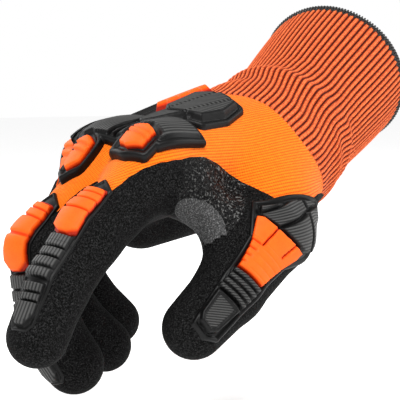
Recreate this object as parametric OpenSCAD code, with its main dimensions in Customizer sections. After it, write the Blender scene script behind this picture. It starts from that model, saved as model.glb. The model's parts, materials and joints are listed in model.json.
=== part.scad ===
// Impact-resistant knit work glove for the right hand, shaped as if a relaxed, gripping hand were inside.
// Axes: fingers toward -X, cuff toward +X, thumb toward -Y, back of the hand toward +Z.
// Origin: the centre of the cuff opening, where the hand goes in.
// The hand's own frame has its zero at the wrist, x toward the fingertips, y toward the thumb and
// z out of the back of the hand.

/* [Cuff] */
// Length of the rib cuff from the wrist to its opening
cuff_length = 78; // [60:1:90]
// Outer radius of the rib cuff at the wrist
wrist_radius = 34; // [32:0.5:35]
// Outer radius of the rib cuff at its opening
rim_radius = 37; // [34:0.5:40]
// How far the cuff is raised from the line of the palm
cuff_raise = 20; // [10:1:28]
// How far the cuff is turned toward the little finger's side
cuff_turn = 24; // [10:1:28]
// Thickness of the rib knit
rib_thickness = 2.4; // [2:0.1:3]
// Width of the overlocked edge round the opening
binding_width = 4.5; // [3:0.5:6]

/* [Hand] */
// How far the whole glove leans, about X and about Y
lean = [-5.4, -6.9]; // [-8:0.1:8]
// Thickness of the knit liner
knit = 1.2; // [1:0.1:1.5]
// Thickness of the nitrile coat over it
coat = 1.0; // [0.8:0.1:1.2]
// Radius of the hand's edge over the knuckles, liner only
knuckle_radius = 12.8; // [12.5:0.1:13.2]
// Height of the moulded rubber guards above the coat
guard_height = 3.6; // [3:0.1:4]
// How far the orange pads stand above the guards
pad_rise = 1.6; // [1:0.1:2]

/* [Index finger] */
// Knuckle centre in the hand's frame
index_knuckle = [92, 34, 0]; // [-60:0.5:110]
// Lengths of the base, middle and tip stretches
index_lengths = [46, 27, 20]; // [15:1:55]
// Bends at the knuckle, the middle joint and the end joint
index_bends = [29, 11, 13]; // [0:1:75]
// Sideways spread toward the thumb
index_spread = 8; // [6:1:10]
// Outer radii at the knuckle, the middle joint, the end joint and the fingertip
index_radii = [11.6, 11.8, 11.4, 11.2]; // [9:0.1:12]

/* [Middle finger] */
// Knuckle centre in the hand's frame
middle_knuckle = [97, 10.3, 3]; // [-60:0.5:110]
// Lengths of the base, middle and tip stretches
middle_lengths = [51, 31, 21]; // [15:1:55]
// Bends at the knuckle, the middle joint and the end joint
middle_bends = [36, 51, 27]; // [0:1:75]
// Sideways spread toward the thumb
middle_spread = -3; // [-3:1:0]
// Outer radii at the knuckle, the middle joint, the end joint and the fingertip
middle_radii = [11.6, 11.9, 11.7, 11.5]; // [9:0.1:12]

/* [Ring finger] */
// Knuckle centre in the hand's frame
ring_knuckle = [91, -13.2, 1]; // [-60:0.5:110]
// Lengths of the base, middle and tip stretches
ring_lengths = [47, 29, 21]; // [15:1:55]
// Bends at the knuckle, the middle joint and the end joint
ring_bends = [46, 60, 23]; // [0:1:75]
// Sideways spread toward the thumb
ring_spread = -5; // [-6:1:-5]
// Outer radii at the knuckle, the middle joint, the end joint and the fingertip
ring_radii = [11.4, 11.4, 11, 10.8]; // [9:0.1:12]

/* [Little finger] */
// Knuckle centre in the hand's frame
little_knuckle = [80, -36, -4]; // [-60:0.5:110]
// Lengths of the base, middle and tip stretches
little_lengths = [37, 22, 19]; // [15:1:55]
// Bends at the knuckle, the middle joint and the end joint
little_bends = [57, 50, 20]; // [0:1:75]
// Sideways spread toward the thumb
little_spread = -9; // [-12:1:-8]
// Outer radii at the knuckle, the middle joint, the end joint and the fingertip
little_radii = [10.9, 10.8, 10.5, 10.3]; // [9:0.1:12]

/* [Thumb] */
// Centre that the whole thumb swings about, in the hand's frame
thumb_root = [20, 20, -10]; // [-20:1:30]
// Turns of the thumb: roll, drop below the palm, spread from the fingers
thumb_turns = [-90, 36.9, 44.1]; // [-90:0.1:60]
// Lengths of the base, middle and tip stretches
thumb_lengths = [46, 34, 24]; // [20:1:50]
// Bends at the thumb's knuckle and its end joint
thumb_bends = [30, 6]; // [0:1:45]
// Outer radii where the sleeve starts, at the knuckle, the end joint and the fingertip
thumb_radii = [17, 15.5, 13.4, 12.2]; // [10:0.1:18]
// How far from its root the separate thumb sleeve starts
thumb_start = 28; // [27:0.5:30]
// How far the thumb's guard is turned round it, toward the back of the hand
thumb_guard_turn = 28; // [0:1:45]

/* [Hidden] */
$fn = 48;
hull_sides = 24;
FINGERS = ["index", "middle", "ring", "little"];
KNUCKLES = [index_knuckle, middle_knuckle, ring_knuckle, little_knuckle];
LENGTHS = [index_lengths, middle_lengths, ring_lengths, little_lengths];
BENDS = [index_bends, middle_bends, ring_bends, little_bends];
SPREADS = [index_spread, middle_spread, ring_spread, little_spread];
RADII = [index_radii, middle_radii, ring_radii, little_radii];
// the most that each finger joint bends, which sets how far its mouth is cut back on the palm side
MOST_BENDS = [[50, 48, 38], [58, 70, 42], [62, 78, 36], [70, 72, 34]];
THUMB_MOST_BENDS = [0, 40, 28];
joint_gap = 0.3;
wrist_play = 12;
far = 70;
flexor_slot = 30;
// guards: half the width of the strip, and how deep and how far apart its steps are
finger_guard_width = [15.5, 14.5, 12];
step_depth = 1.4;
step_width = 1.2;
// the film of glue under a guard, which keeps its face clear of the coat's
glue = 0.06;
swing_gap = 0.6;
swing_room = 2.5;

cuff_way = [
    -cos(cuff_raise) * cos(cuff_turn), -cos(cuff_raise) * sin(cuff_turn), sin(cuff_raise)
];
rim_centre = cuff_length * cuff_way;

// ---- frames ----

// The hand's frame, seen from the cuff opening.
module on_hand() {
    rotate([0, lean[1], 0])
        rotate([lean[0], 0, 0])
            rotate([0, 0, 180])
                translate(-rim_centre)
                    children();
}

// Within the hand's frame, x runs along the cuff, from the wrist to the opening.
module along_cuff() {
    rotate([0, -cuff_raise, 180 + cuff_turn])
        children();
}

// Stretch 0, 1 or 2 of a finger: x runs along it from its own joint, z out of its back.
module on_finger(f, stretch) {
    on_hand()
        translate(KNUCKLES[f])
            rotate([0, 0, SPREADS[f]])
                rotate([0, BENDS[f][0], 0])
                    down_chain(LENGTHS[f], BENDS[f], stretch)
                        children();
}

// Stretch 0, 1 or 2 of the thumb, in the same way.
module on_thumb(stretch) {
    on_hand()
        translate(thumb_root)
            rotate(thumb_turns)
                down_chain(thumb_lengths, [0, thumb_bends[0], thumb_bends[1]], stretch)
                    children();
}

module down_chain(lengths, bends, stretch, at = 1) {
    if (at > stretch)
        children();
    else
        translate([lengths[at - 1], 0, 0])
            rotate([0, bends[at], 0])
                down_chain(lengths, bends, stretch, at + 1)
                    children();
}

// ---- tubes ----

// A tapered tube along x from x0 to x1, with its wall between the inner and outer radii.
module tube(x0, x1, outer0, outer1, wall) {
    rotate([0, 90, 0])
        rotate_extrude()
            polygon([[outer0 - wall, x0], [outer0, x0], [outer1, x1], [outer1 - wall, x1]]);
}

// The same, closed by a round end centred on x1.
module thimble(x0, x1, outer0, outer1, wall) {
    inner1 = outer1 - wall;
    turn_step = 15;
    rotate([0, 90, 0])
        rotate_extrude()
            polygon(concat(
                [[outer0 - wall, x0], [outer0, x0]],
                [for (a = [0:turn_step:90]) [outer1 * cos(a), x1 + outer1 * sin(a)]],
                [for (a = [90:-turn_step:0]) [inner1 * cos(a), x1 + inner1 * sin(a)]]
            ));
}

// All that lies past the joint at x: square to the tube on its back, sloped on the palm side so that
// the two mouths meet, and never cross, at the joint's greatest bend. side is 1 past the joint, -1 before.
module past_joint(x, most_bend, side, width = far) {
    slope = far * tan(most_bend / 2);
    translate([x, 0, 0])
        rotate([90, 0, 0])
            linear_extrude(width, center = true)
                polygon([
                    [-side * joint_gap, far], [-side * joint_gap, 0],
                    [-side * (joint_gap + slope), -far], [side * far, -far], [side * far, far]
                ]);
}

// The body of a stretch: tube or thimble, trimmed at its own joint and at the next one.
module stretch_tube(length, outer0, outer1, wall, near_bend, far_bend, closed) {
    difference() {
        if (closed)
            thimble(0, length - outer1, outer0, outer1, wall);
        else
            tube(0, length, outer0, outer1, wall);
        past_joint(0, near_bend, -1);
        if (!closed)
            past_joint(length, far_bend, 1);
    }
}

module finger_tube(f, stretch, depth, wall) {
    r = RADII[f];
    tip = stretch == 2;
    // a fingertip's radius is measured where its round end starts
    stretch_tube(
        LENGTHS[f][stretch] + (tip ? r[3] - depth : 0), r[stretch] - depth, r[stretch + 1] - depth, wall,
        MOST_BENDS[f][stretch], tip ? 0 : MOST_BENDS[f][stretch + 1], tip
    );
}

module finger_liner(f, stretch) {
    color("darkorange")
        on_finger(f, stretch)
            finger_tube(f, stretch, coat, knit);
}

module finger_coat(f, stretch) {
    color([0.2, 0.2, 0.2])
        on_finger(f, stretch)
            finger_tube(f, stretch, 0, coat);
}

// ---- moulded guards on the fingers ----

// A strip over the back of a tapered stretch, from x0 to x1, between two heights above the coat.
module back_strip(x0, x1, outer0, outer1, length, low, high, width) {
    intersection() {
        difference() {
            rotate([0, 90, 0])
                cylinder(h = length, r1 = outer0 + high, r2 = outer1 + high);
            rotate([0, 90, 0])
                translate([0, 0, -1])
                    cylinder(h = length + 2, r1 = outer0 + low, r2 = outer1 + low);
        }
        translate([x0, -width / 2, 0])
            cube([x1 - x0, width, far]);
    }
}

// Grooves across a strip, at a regular spacing.
module cross_grooves(x0, x1, count, top) {
    spacing = (x1 - x0) / count;
    for (i = [1:count - 1])
        translate([x0 + i * spacing - step_width / 2, -far / 2, top - step_depth])
            cube([step_width, far, far]);
}

module finger_strip(f, stretch, x0, x1, high, width, steps) {
    r = RADII[f];
    outer0 = r[stretch];
    outer1 = r[stretch + 1];
    difference() {
        back_strip(x0, x1, outer0, outer1, LENGTHS[f][stretch], glue, high, width);
        cross_grooves(x0, x1, steps, max(outer0, outer1) + high);
    }
}

// Where a stretch's guard starts and ends: clear of the joints, which have to stay free to bend.
function guard_start(f, stretch) = stretch == 0 ? 15 : 3;
function guard_end(f, stretch) = LENGTHS[f][stretch] - (stretch == 2 ? 2 : 3);
// The orange steps fill the first part of the base stretch's guard.
function pads_end(f) = LENGTHS[f][0] * 0.78;

module finger_guard(f, stretch) {
    start = stretch == 0 ? pads_end(f) : guard_start(f, stretch);
    color([0.12, 0.12, 0.12])
        on_finger(f, stretch)
            finger_strip(
                f, stretch, start, guard_end(f, stretch), guard_height,
                finger_guard_width[stretch], stretch == 0 ? 2 : 3
            );
}

module finger_pads(f) {
    color("orangered")
        on_finger(f, 0)
            finger_strip(
                f, 0, guard_start(f, 0), pads_end(f), guard_height + pad_rise,
                finger_guard_width[0] - 2, 4
            );
}

// ---- thumb ----

module thumb_tube(stretch, depth, wall) {
    r = thumb_radii;
    tip = stretch == 2;
    if (stretch == 0)
        difference() {
            tube(thumb_start - 12, thumb_lengths[0], r[0] - depth, r[1] - depth, wall);
            sphere(r = thumb_start);
            past_joint(thumb_lengths[0], THUMB_MOST_BENDS[1], 1);
        }
    else
        stretch_tube(
            thumb_lengths[stretch] + (tip ? r[3] - depth : 0), r[stretch] - depth,
            r[stretch + 1] - depth, wall, THUMB_MOST_BENDS[stretch], tip ? 0 : THUMB_MOST_BENDS[2], tip
        );
}

module thumb_liner(stretch) {
    color("darkorange")
        on_thumb(stretch)
            thumb_tube(stretch, coat, knit);
}

module thumb_coat(stretch) {
    color([0.2, 0.2, 0.2])
        on_thumb(stretch)
            thumb_tube(stretch, 0, coat);
}

module thumb_strip(stretch, x0, x1, low, high, width, steps) {
    r = thumb_radii;
    rotate([thumb_guard_turn, 0, 0])
        difference() {
            back_strip(x0, x1, r[stretch], r[stretch + 1], thumb_lengths[stretch], low, high, width);
            if (steps > 0)
                cross_grooves(x0, x1, steps, max(r[stretch], r[stretch + 1]) + high);
        }
}

thumb_mid_guard_ends = [3, thumb_lengths[1] - 3];
thumb_guard_width = 24;
thumb_pad_width = 17;

// ---- hand ----

// The filled shape of the hand from the wrist to the knuckles, grown evenly by a depth: one hull from
// the wrist and heel to each pair of neighbouring knuckles.
module hand_form(grow) {
    heel_radius = 17;
    for (pair = [0:2])
        hull() {
            rotate([0, 90 + cuff_raise / 2, cuff_turn / 2])
                cylinder(r = wrist_radius - 2 + grow, h = 0.1, $fn = 32);
            for (side = [-1, 1])
                translate([22, side * 21, -12])
                    sphere(r = heel_radius + grow, $fn = hull_sides);
            for (f = [pair, pair + 1])
                translate(KNUCKLES[f])
                    sphere(r = knuckle_radius - (f == 3 ? 0.8 : 0) + grow, $fn = hull_sides);
        }
}

// The mound that the thumb grows out of.
module thumb_mound(grow) {
    mound_radius = thumb_radii[0] - coat;
    translate(thumb_root)
        rotate(thumb_turns)
            hull() {
                sphere(r = mound_radius + grow, $fn = hull_sides);
                translate([thumb_start, 0, 0])
                    sphere(r = mound_radius - 0.5 + grow, $fn = hull_sides);
            }
}

module hand_shell(low, high) {
    difference() {
        union() {
            hand_form(high);
            thumb_mound(high);
        }
        hand_form(low);
        thumb_mound(low);
        wrist_trim(-1);
        knuckle_trims();
        thumb_mouth();
    }
}

// What lies past the wrist joint, with room for the wrist to bend both ways. The joint's plane is
// halfway between the palm's line and the cuff's. side is 1 past it toward the fingers, -1 toward the cuff.
module wrist_trim(side) {
    for (tilt = [-wrist_play, wrist_play])
        rotate([0, cuff_raise / 2 + tilt, cuff_turn / 2])
            translate([side > 0 ? -joint_gap : joint_gap - 2 * far, -far, -far])
                cube(2 * far);
}

module knuckle_trims() {
    for (f = [0:3])
        translate(KNUCKLES[f])
            rotate([0, 0, SPREADS[f]])
                past_joint(0, MOST_BENDS[f][0], 1, flexor_slot);
}

// The thumb sleeve turns about its root, so both sides of this gap are round about it.
module thumb_mouth() {
    translate(thumb_root)
        rotate(thumb_turns)
            difference() {
                rotate([0, 90, 0])
                    cylinder(r = thumb_radii[0] + swing_room, h = far);
                sphere(r = thumb_start - swing_gap);
            }
}

module hand_liner() {
    color("darkorange")
        on_hand()
            hand_shell(-knit, 0);
}

// The coat covers the palm and the edges, up to the dip line.
dip_height = -3;
module palm_coat() {
    color([0.15, 0.15, 0.15])
        on_hand()
            difference() {
                hand_shell(0, coat);
                translate([-far, -far, dip_height])
                    cube(4 * far);
            }
}

module thumb_crotch_patch() {
    color([0.35, 0.35, 0.35])
        on_hand()
            intersection() {
                hand_shell(coat, coat + 0.8);
                translate([66, 44, -12])
                    sphere(r = 15);
            }
}

// ---- guards on the back of the hand ----

lobe_reach = [-17, 7];
pad_reach = [-13, 1];
pad_half = 7;

// One knuckle's share of the guard, or of the pads, as seen from above.
module above_knuckle(f, reach, half, height) {
    translate(KNUCKLES[f])
        rotate([0, 0, SPREADS[f]])
            translate([reach[0], -half, 0])
                cube([reach[1] - reach[0], 2 * half, height]);
}

module guard_skin(high) {
    hull()
        for (f = [0:3])
            translate(KNUCKLES[f] + [-5, 0, 0])
                sphere(r = knuckle_radius + high, $fn = 32);
}

module knuckle_guard() {
    color([0.12, 0.12, 0.12])
        on_hand()
            difference() {
                intersection() {
                    guard_skin(guard_height + 2);
                    for (f = [0:3])
                        above_knuckle(f, lobe_reach, 12.5, far);
                }
                hand_form(coat);
                for (f = [0:3])
                    above_knuckle(f, pad_reach, pad_half, far);
            }
}

module knuckle_pads() {
    color("orangered")
        on_hand()
            difference() {
                intersection() {
                    guard_skin(guard_height + 2 + pad_rise);
                    for (f = [0:3])
                        above_knuckle(f, pad_reach, pad_half - 0.05, far);
                }
                hand_form(coat);
            }
}

// A long six-sided plate lying on the back of the hand.
module back_plate(middle, turn, length, width, high) {
    corner = width * 0.55;
    intersection() {
        difference() {
            hand_form(coat + high);
            hand_form(coat);
        }
        translate([middle[0], middle[1], 0])
            rotate([0, 0, turn])
                linear_extrude(far)
                    polygon([
                        [-length / 2, 0], [-length / 2 + corner, width / 2], [length / 2 - corner, width / 2],
                        [length / 2, 0], [length / 2 - corner, -width / 2], [-length / 2 + corner, -width / 2]
                    ]);
    }
}

plate_size = [46, 17];
module back_guard(side) {
    color([0.12, 0.12, 0.12])
        on_hand()
            back_plate([46, side * 24], side * 6, plate_size[0], plate_size[1], guard_height);
}

module back_pad() {
    color("orangered")
        on_hand()
            back_plate([52, 0], 0, 36, 16, guard_height + pad_rise);
}

// ---- cuff ----

module rib_cuff() {
    color("chocolate")
        on_hand()
            difference() {
                along_cuff()
                    tube(-16, cuff_length - binding_width, wrist_radius, rim_radius, rib_thickness);
                wrist_trim(1);
            }
}

module cuff_binding() {
    lip = 0.8;
    color([0.05, 0.05, 0.05])
        on_hand()
            along_cuff()
                tube(
                    cuff_length - binding_width, cuff_length, rim_radius + lip, rim_radius + lip,
                    rib_thickness + 2 * lip
                );
}

rib_cuff();
cuff_binding();
hand_liner();
palm_coat();
thumb_crotch_patch();
knuckle_guard();
knuckle_pads();
back_guard(1);  // back_guard_index_side
back_guard(-1);  // back_guard_little_side
back_pad();
for (f = [0:3]) {
    finger_liner(f, 0);
    finger_liner(f, 1);
    finger_liner(f, 2);
    finger_coat(f, 0);
    finger_coat(f, 1);
    finger_coat(f, 2);
    finger_guard(f, 0);
    finger_guard(f, 1);
    finger_pads(f);
}
finger_guard(0, 2);  // index_tip_guard
finger_guard(1, 2);  // middle_tip_guard
thumb_liner(0);  // thumb_base_liner
thumb_liner(1);  // thumb_mid_liner
thumb_liner(2);  // thumb_tip_liner
thumb_coat(0);  // thumb_base_coat
thumb_coat(1);  // thumb_mid_coat
thumb_coat(2);  // thumb_tip_coat
color([0.12, 0.12, 0.12])  // thumb_mid_guard
        on_thumb(1)
            thumb_strip(
                1, thumb_mid_guard_ends[0], thumb_mid_guard_ends[1], glue, guard_height,
                thumb_guard_width, 0
            );
color("orangered")  // thumb_mid_pads
        on_thumb(1)
            thumb_strip(
                1, thumb_mid_guard_ends[0] + 3, thumb_mid_guard_ends[1] - 4, guard_height + glue,
                guard_height + pad_rise, thumb_pad_width, 4
            );
color([0.12, 0.12, 0.12])  // thumb_tip_guard
        on_thumb(2)
            thumb_strip(2, 3, thumb_lengths[2] - 2, glue, guard_height, thumb_pad_width, 3);
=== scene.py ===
# %% [markdown]
# # A knit work glove with moulded guards, in Blender
# The glove is a seamless knit sock of a hand, dipped in black nitrile, with a rib cuff and thick rubber
# guards over the knuckles, the fingers and the thumb. The CAD frame gives the places of the joints and the
# sizes. This script builds the skin that the eye sees around those joints.

import json
import math

import bpy
import numpy as np
import openvdb
from mathutils import Matrix, Vector
from mathutils.bvhtree import BVHTree

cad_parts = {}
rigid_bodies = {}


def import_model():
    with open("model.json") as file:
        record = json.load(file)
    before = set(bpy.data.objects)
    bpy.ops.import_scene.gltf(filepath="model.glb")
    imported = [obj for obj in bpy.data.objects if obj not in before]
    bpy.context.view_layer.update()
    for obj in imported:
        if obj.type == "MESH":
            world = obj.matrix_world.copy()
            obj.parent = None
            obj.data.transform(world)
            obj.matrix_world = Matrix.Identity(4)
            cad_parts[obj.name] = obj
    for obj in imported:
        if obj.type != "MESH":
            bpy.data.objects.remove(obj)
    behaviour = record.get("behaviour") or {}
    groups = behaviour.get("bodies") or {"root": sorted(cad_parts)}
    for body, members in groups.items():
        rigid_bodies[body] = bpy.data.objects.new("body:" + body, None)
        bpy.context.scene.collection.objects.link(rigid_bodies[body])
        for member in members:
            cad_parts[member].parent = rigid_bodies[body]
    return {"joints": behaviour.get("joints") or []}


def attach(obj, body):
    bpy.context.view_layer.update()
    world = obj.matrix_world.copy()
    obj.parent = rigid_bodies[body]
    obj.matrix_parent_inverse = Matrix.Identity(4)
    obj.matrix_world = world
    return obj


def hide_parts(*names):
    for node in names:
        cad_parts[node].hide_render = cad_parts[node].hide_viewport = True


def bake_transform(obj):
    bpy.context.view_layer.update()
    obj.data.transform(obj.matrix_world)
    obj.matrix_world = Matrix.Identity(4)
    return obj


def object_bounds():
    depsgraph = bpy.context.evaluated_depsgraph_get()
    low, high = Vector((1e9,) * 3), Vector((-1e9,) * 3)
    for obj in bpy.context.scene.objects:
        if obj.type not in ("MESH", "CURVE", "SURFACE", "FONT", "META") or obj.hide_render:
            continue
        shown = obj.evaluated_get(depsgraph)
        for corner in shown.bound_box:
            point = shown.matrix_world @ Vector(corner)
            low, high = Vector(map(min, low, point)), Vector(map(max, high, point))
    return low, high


# an object that Blender starts with would count as part of the glove's box
for leftover in list(bpy.data.objects):
    bpy.data.objects.remove(leftover)
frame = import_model()
cad_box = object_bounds()
print("the glove spans", [round(v, 3) for v in cad_box[1] - cad_box[0]], "m")

# %% [markdown]
# ## The skeleton
# A glove has no bones, but it is shaped by them. Every size below is in millimetres, and every place comes
# from the joints of the frame: three for each finger and three for the thumb.

# %% Read the joints
MM = 0.001
FINGERS = ["index", "middle", "ring", "little"]
JOINTS = {j["name"]: j for j in frame["joints"]}


def place(joint):
    """Where a joint is, in millimetres."""
    return np.array(JOINTS[joint]["pos_m"]) / MM


def unit(v):
    """The same direction, one long."""
    return np.array(v, float) / np.linalg.norm(v)


def turn(v, axis, degrees):
    """v turned about an axis through zero."""
    a = math.radians(degrees)
    return v * math.cos(a) + np.cross(axis, v) * math.sin(a) + axis * (axis @ v) * (1 - math.cos(a))


# each tip's length and how far it is bent from the stretch before it
TIPS = {"index": (20, 13), "middle": (21, 27), "ring": (21, 23), "little": (19, 20), "thumb": (24, 6)}
# outer radii at the knuckle, the middle joint, the end joint and the tip
RADII = {
    "index": (13.2, 12.4, 11.8, 11.4),
    "middle": (13.2, 12.2, 12.0, 11.9),
    "ring": (12.8, 11.7, 11.3, 11.1),
    "little": (12.0, 11.1, 10.8, 10.6),
    "thumb": (19.0, 16.0, 14.0, 12.4),
}


def chain(digit):
    """The four points of a digit: its three joints and the centre of its round tip."""
    joints = ["knuckle_bend", "middle_bend", "end_bend"]
    if digit == "thumb":
        joints = ["swing", "knuckle_bend", "end_bend"]
    points = [place(f"{digit}_{j}") for j in joints]
    hinge = unit(JOINTS[f"{digit}_end_bend"]["axis"])
    length, bend = TIPS[digit]
    points.append(points[2] + length * turn(unit(points[2] - points[1]), hinge, bend))
    return points


CHAINS = {digit: chain(digit) for digit in RADII}
for digit, points in CHAINS.items():
    print(digit, "reaches", round(sum(np.linalg.norm(b - a) for a, b in zip(points, points[1:])), 1), "mm")

# %% [markdown]
# The hand has a frame of its own, with zero at the wrist: x toward the fingertips, y toward the thumb, z out
# of the back of the hand. The cuff leaves it toward the opening, which is the origin of everything.

# %% Set up the hand's frame
LEAN_X, LEAN_Y = math.radians(-5.4), math.radians(-6.9)
wrist = place("wrist_bend")
cuff_way = unit(-wrist)
cuff_length = np.linalg.norm(wrist)


def turning(angle, axis):
    """The 3 by 3 matrix that turns by an angle about X, Y or Z."""
    c, s = math.cos(angle), math.sin(angle)
    i, j = [(1, 2), (2, 0), (0, 1)][axis]
    m = np.eye(3)
    m[i, i] = m[j, j] = c
    m[i, j], m[j, i] = -s, s
    return m


HAND = turning(LEAN_Y, 1) @ turning(LEAN_X, 0) @ turning(math.pi, 2)
TO_TIPS, TO_THUMB, OUT_OF_BACK = HAND.T


def from_hand(x, y, z):
    """A point of the hand's frame, in the glove's frame."""
    return wrist + HAND @ np.array([x, y, z], float)


def to_hand(points):
    """Many points of the glove's frame, in the hand's frame."""
    return (points - wrist) @ HAND


print("the index knuckle in the hand's frame:", to_hand(CHAINS["index"][0][None])[0].round(1))

# %% [markdown]
# ## The skin
# A dipped glove is one smooth skin, with no seam where a finger leaves the palm. It is modelled as a distance
# field: each stretch of a finger is a cone with round ends, and the cones melt into each other. The field is
# sampled on a grid, and the surface where it is zero is turned into quads.

# %% Distance to a cone with round ends
VOXEL = 1.15
MARGIN = 10
low = np.array(cad_box[0]) / MM - MARGIN
high = np.array(cad_box[1]) / MM + MARGIN
counts = np.ceil((high - low) / VOXEL).astype(int)


def round_cone(points, a, b, ra, rb):
    """The distance from points to a cone from a to b with round ends of radius ra and rb."""
    ba = b - a
    length2 = ba @ ba
    step = ra - rb
    slant2 = length2 - step * step
    pa = points - a
    y = pa @ ba
    z = y - length2
    x2 = ((pa * length2 - y[..., None] * ba) ** 2).sum(-1)
    y2 = y * y * length2
    z2 = z * z * length2
    k = np.sign(step) * step * step * x2
    side = (np.sqrt(x2 * slant2 / length2) + y * step) / length2 - ra
    far_end = np.sqrt(x2 + z2) / length2 - rb
    near_end = np.sqrt(x2 + y2) / length2 - ra
    distance = np.where(np.sign(y) * slant2 * y2 < k, near_end, side)
    return np.where(np.sign(z) * slant2 * z2 > k, far_end, distance)


def melt(d1, d2, k):
    """The union of two distances, with a fillet about k wide where they meet."""
    h = np.clip(0.5 + 0.5 * (d2 - d1) / k, 0, 1)
    return d2 + (d1 - d2) * h - k * h * (1 - h)


# %% The cones of the palm and of the digits
def palm_cones():
    """The cones that fill the hand from the wrist to the knuckles: a, b, radius at a, radius at b."""
    knuckle = {f: to_hand(CHAINS[f][0][None])[0] for f in FINGERS}
    # where each finger's cone starts near the wrist, its radius there, and its radius at the knuckle
    bones = {
        "index": ((2, 9, 0), 22, 14.2),
        "middle": ((2, 3, 2), 27, 14.4),
        "ring": ((2, -4, 2), 27, 14.0),
        "little": ((2, -9, 0), 22, 13.0),
    }
    cones = [(from_hand(*bones[f][0]), from_hand(*knuckle[f]), *bones[f][1:]) for f in FINGERS]
    # the pad under the knuckles
    cones.append((from_hand(80, 30, -8), from_hand(72, -32, -18), 11, 12))
    # the heel of the hand
    cones.append((from_hand(14, -14, -14), from_hand(61, -33, -25), 20, 15))
    # the fold of skin in the fork of the thumb
    cones.append((from_hand(84, 40, -12), from_hand(65, 41, -31), 8.0, 7.5))
    # the mound at the thumb's root
    cones.append((from_hand(8, 8, -10), from_hand(34, 24, -18), 22, 19))
    # the cuff's end of the hand
    cones.append((wrist + cuff_way * 40, wrist + cuff_way * 2, 33, 30.5))
    return cones


def digit_cones(digit):
    """The cones of one finger or of the thumb."""
    p, r = CHAINS[digit], RADII[digit]
    return [(p[i], p[i + 1], r[i], r[i + 1]) for i in range(3)]


def web_cones():
    """Thin cones that make the skin between neighbouring fingers."""
    cones = []
    for one, other in zip(FINGERS, FINGERS[1:]):
        a, b = CHAINS[one], CHAINS[other]
        cones.append((a[0] + 0.24 * (a[1] - a[0]), b[0] + 0.3 * (b[1] - b[0]), 9.5, 9.0))
    return cones


def field_of(points, cones, k):
    """The melted union of some cones at some points."""
    total = None
    for a, b, ra, rb in cones:
        d = round_cone(points, a, b, ra, rb)
        total = d if total is None else melt(total, d, k)
    return total


PALM_FILLET, WEB_FILLET, FINGER_FILLET, ROOT_FILLET, THUMB_FILLET = 12, 5, 3, 8, 20


def skin_field(points):
    """The whole glove's distance field, and each digit's own, at some points."""
    palm = field_of(points, palm_cones(), PALM_FILLET)
    palm = melt(palm, field_of(points, web_cones(), 1), WEB_FILLET)
    digits = {d: field_of(points, digit_cones(d), FINGER_FILLET) for d in RADII}
    total = palm
    for d in RADII:
        total = np.minimum(total, melt(palm, digits[d], THUMB_FILLET if d == "thumb" else ROOT_FILLET))
    return total, palm, digits


# %% Sample the field where the surface is, and make quads where it is zero
BLOCK = 6


def sample_grid():
    """The field on the whole grid. Only the blocks of voxels that the surface passes through are sampled
    finely: in the rest, the value at the block's middle says which side of the skin it is on."""
    blocks = np.ceil(counts / BLOCK).astype(int)
    index = np.stack(np.meshgrid(*[np.arange(n) for n in blocks], indexing="ij"), -1).reshape(-1, 3)
    middles = low + VOXEL * (index * BLOCK + (BLOCK - 1) / 2)
    coarse = skin_field(middles)[0]
    grid = np.repeat(np.repeat(np.repeat(coarse.reshape(blocks), BLOCK, 0), BLOCK, 1), BLOCK, 2)
    reach = VOXEL * (BLOCK * math.sqrt(3) / 2 + 3)
    inside = np.stack(np.meshgrid(*[np.arange(BLOCK)] * 3, indexing="ij"), -1).reshape(-1, 3)
    near = index[np.abs(coarse) < reach]
    voxels = (near[:, None] * BLOCK + inside[None]).reshape(-1, 3)
    values = skin_field(low + VOXEL * voxels)[0]
    grid[voxels[:, 0], voxels[:, 1], voxels[:, 2]] = values
    return grid


def surface(grid):
    """The points and the quads of the grid where it is zero."""
    vdb = openvdb.FloatGrid(3 * VOXEL)
    vdb.copyFromArray(np.clip(grid, -3 * VOXEL, 3 * VOXEL).astype(np.float32))
    points, quads = vdb.convertToQuads(isovalue=0.0)
    return points.astype(float) * VOXEL + low, quads


skin_points, skin_quads = surface(sample_grid())
print("the skin has", len(skin_quads), "quads")

# %% [markdown]
# ## What is knit and what is dipped
# The glove is dipped palm first, so the black coat ends on a line that runs along the edge of the hand, over
# the roots of the fingers and round the thumb. A number at each point says how many millimetres it lies past
# that line: more than zero is coated.

# %% Find the dip line
normals_sum = np.zeros_like(skin_points)
corner = skin_points[skin_quads]
face_way = np.cross(corner[:, 2] - corner[:, 0], corner[:, 3] - corner[:, 1])
for k in range(4):
    np.add.at(normals_sum, skin_quads[:, k], face_way)
skin_normals = normals_sum / np.linalg.norm(normals_sum, axis=1)[:, None]

# how far from the knuckle the back of each finger stays bare
BARE = {"index": 32, "middle": 37, "ring": 33, "little": 25}
# the dip line is highest beside the knuckles, falls away from there, and is never lower than this
LINE_PEAK, LINE_TOP, LINE_LOWEST = 90, 2.8, -25


def along_digit(points, digit, stretch):
    """How far points lie along one stretch of a digit, from its joint."""
    p = CHAINS[digit]
    return (points - p[stretch]) @ unit(p[stretch + 1] - p[stretch])


def dip_of(points, digits):
    """How far past the dip line points lie, given their distance to each digit."""
    x, y, z = to_hand(points).T
    ahead = np.maximum(x - LINE_PEAK, 0) / 34
    behind = np.maximum(LINE_PEAK - x, 0) / 33
    line = np.maximum(LINE_TOP - 9 * ahead**2 - 13 * behind**2.4, LINE_LOWEST)
    wander = 0.4 * np.sin(x * 0.21 + y * 0.1) + 0.12 * np.sin(x * 0.83 - y * 0.5)
    dip = line - z + wander
    nearest = np.argmin([digits[d] for d in FINGERS], axis=0)
    for i, f in enumerate(FINGERS):
        past = along_digit(points, f, 0) - BARE[f] + wander
        dip = np.where(nearest == i, np.maximum(dip, past), dip)
    return dip


dip = dip_of(skin_points, skin_field(skin_points)[2])
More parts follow.
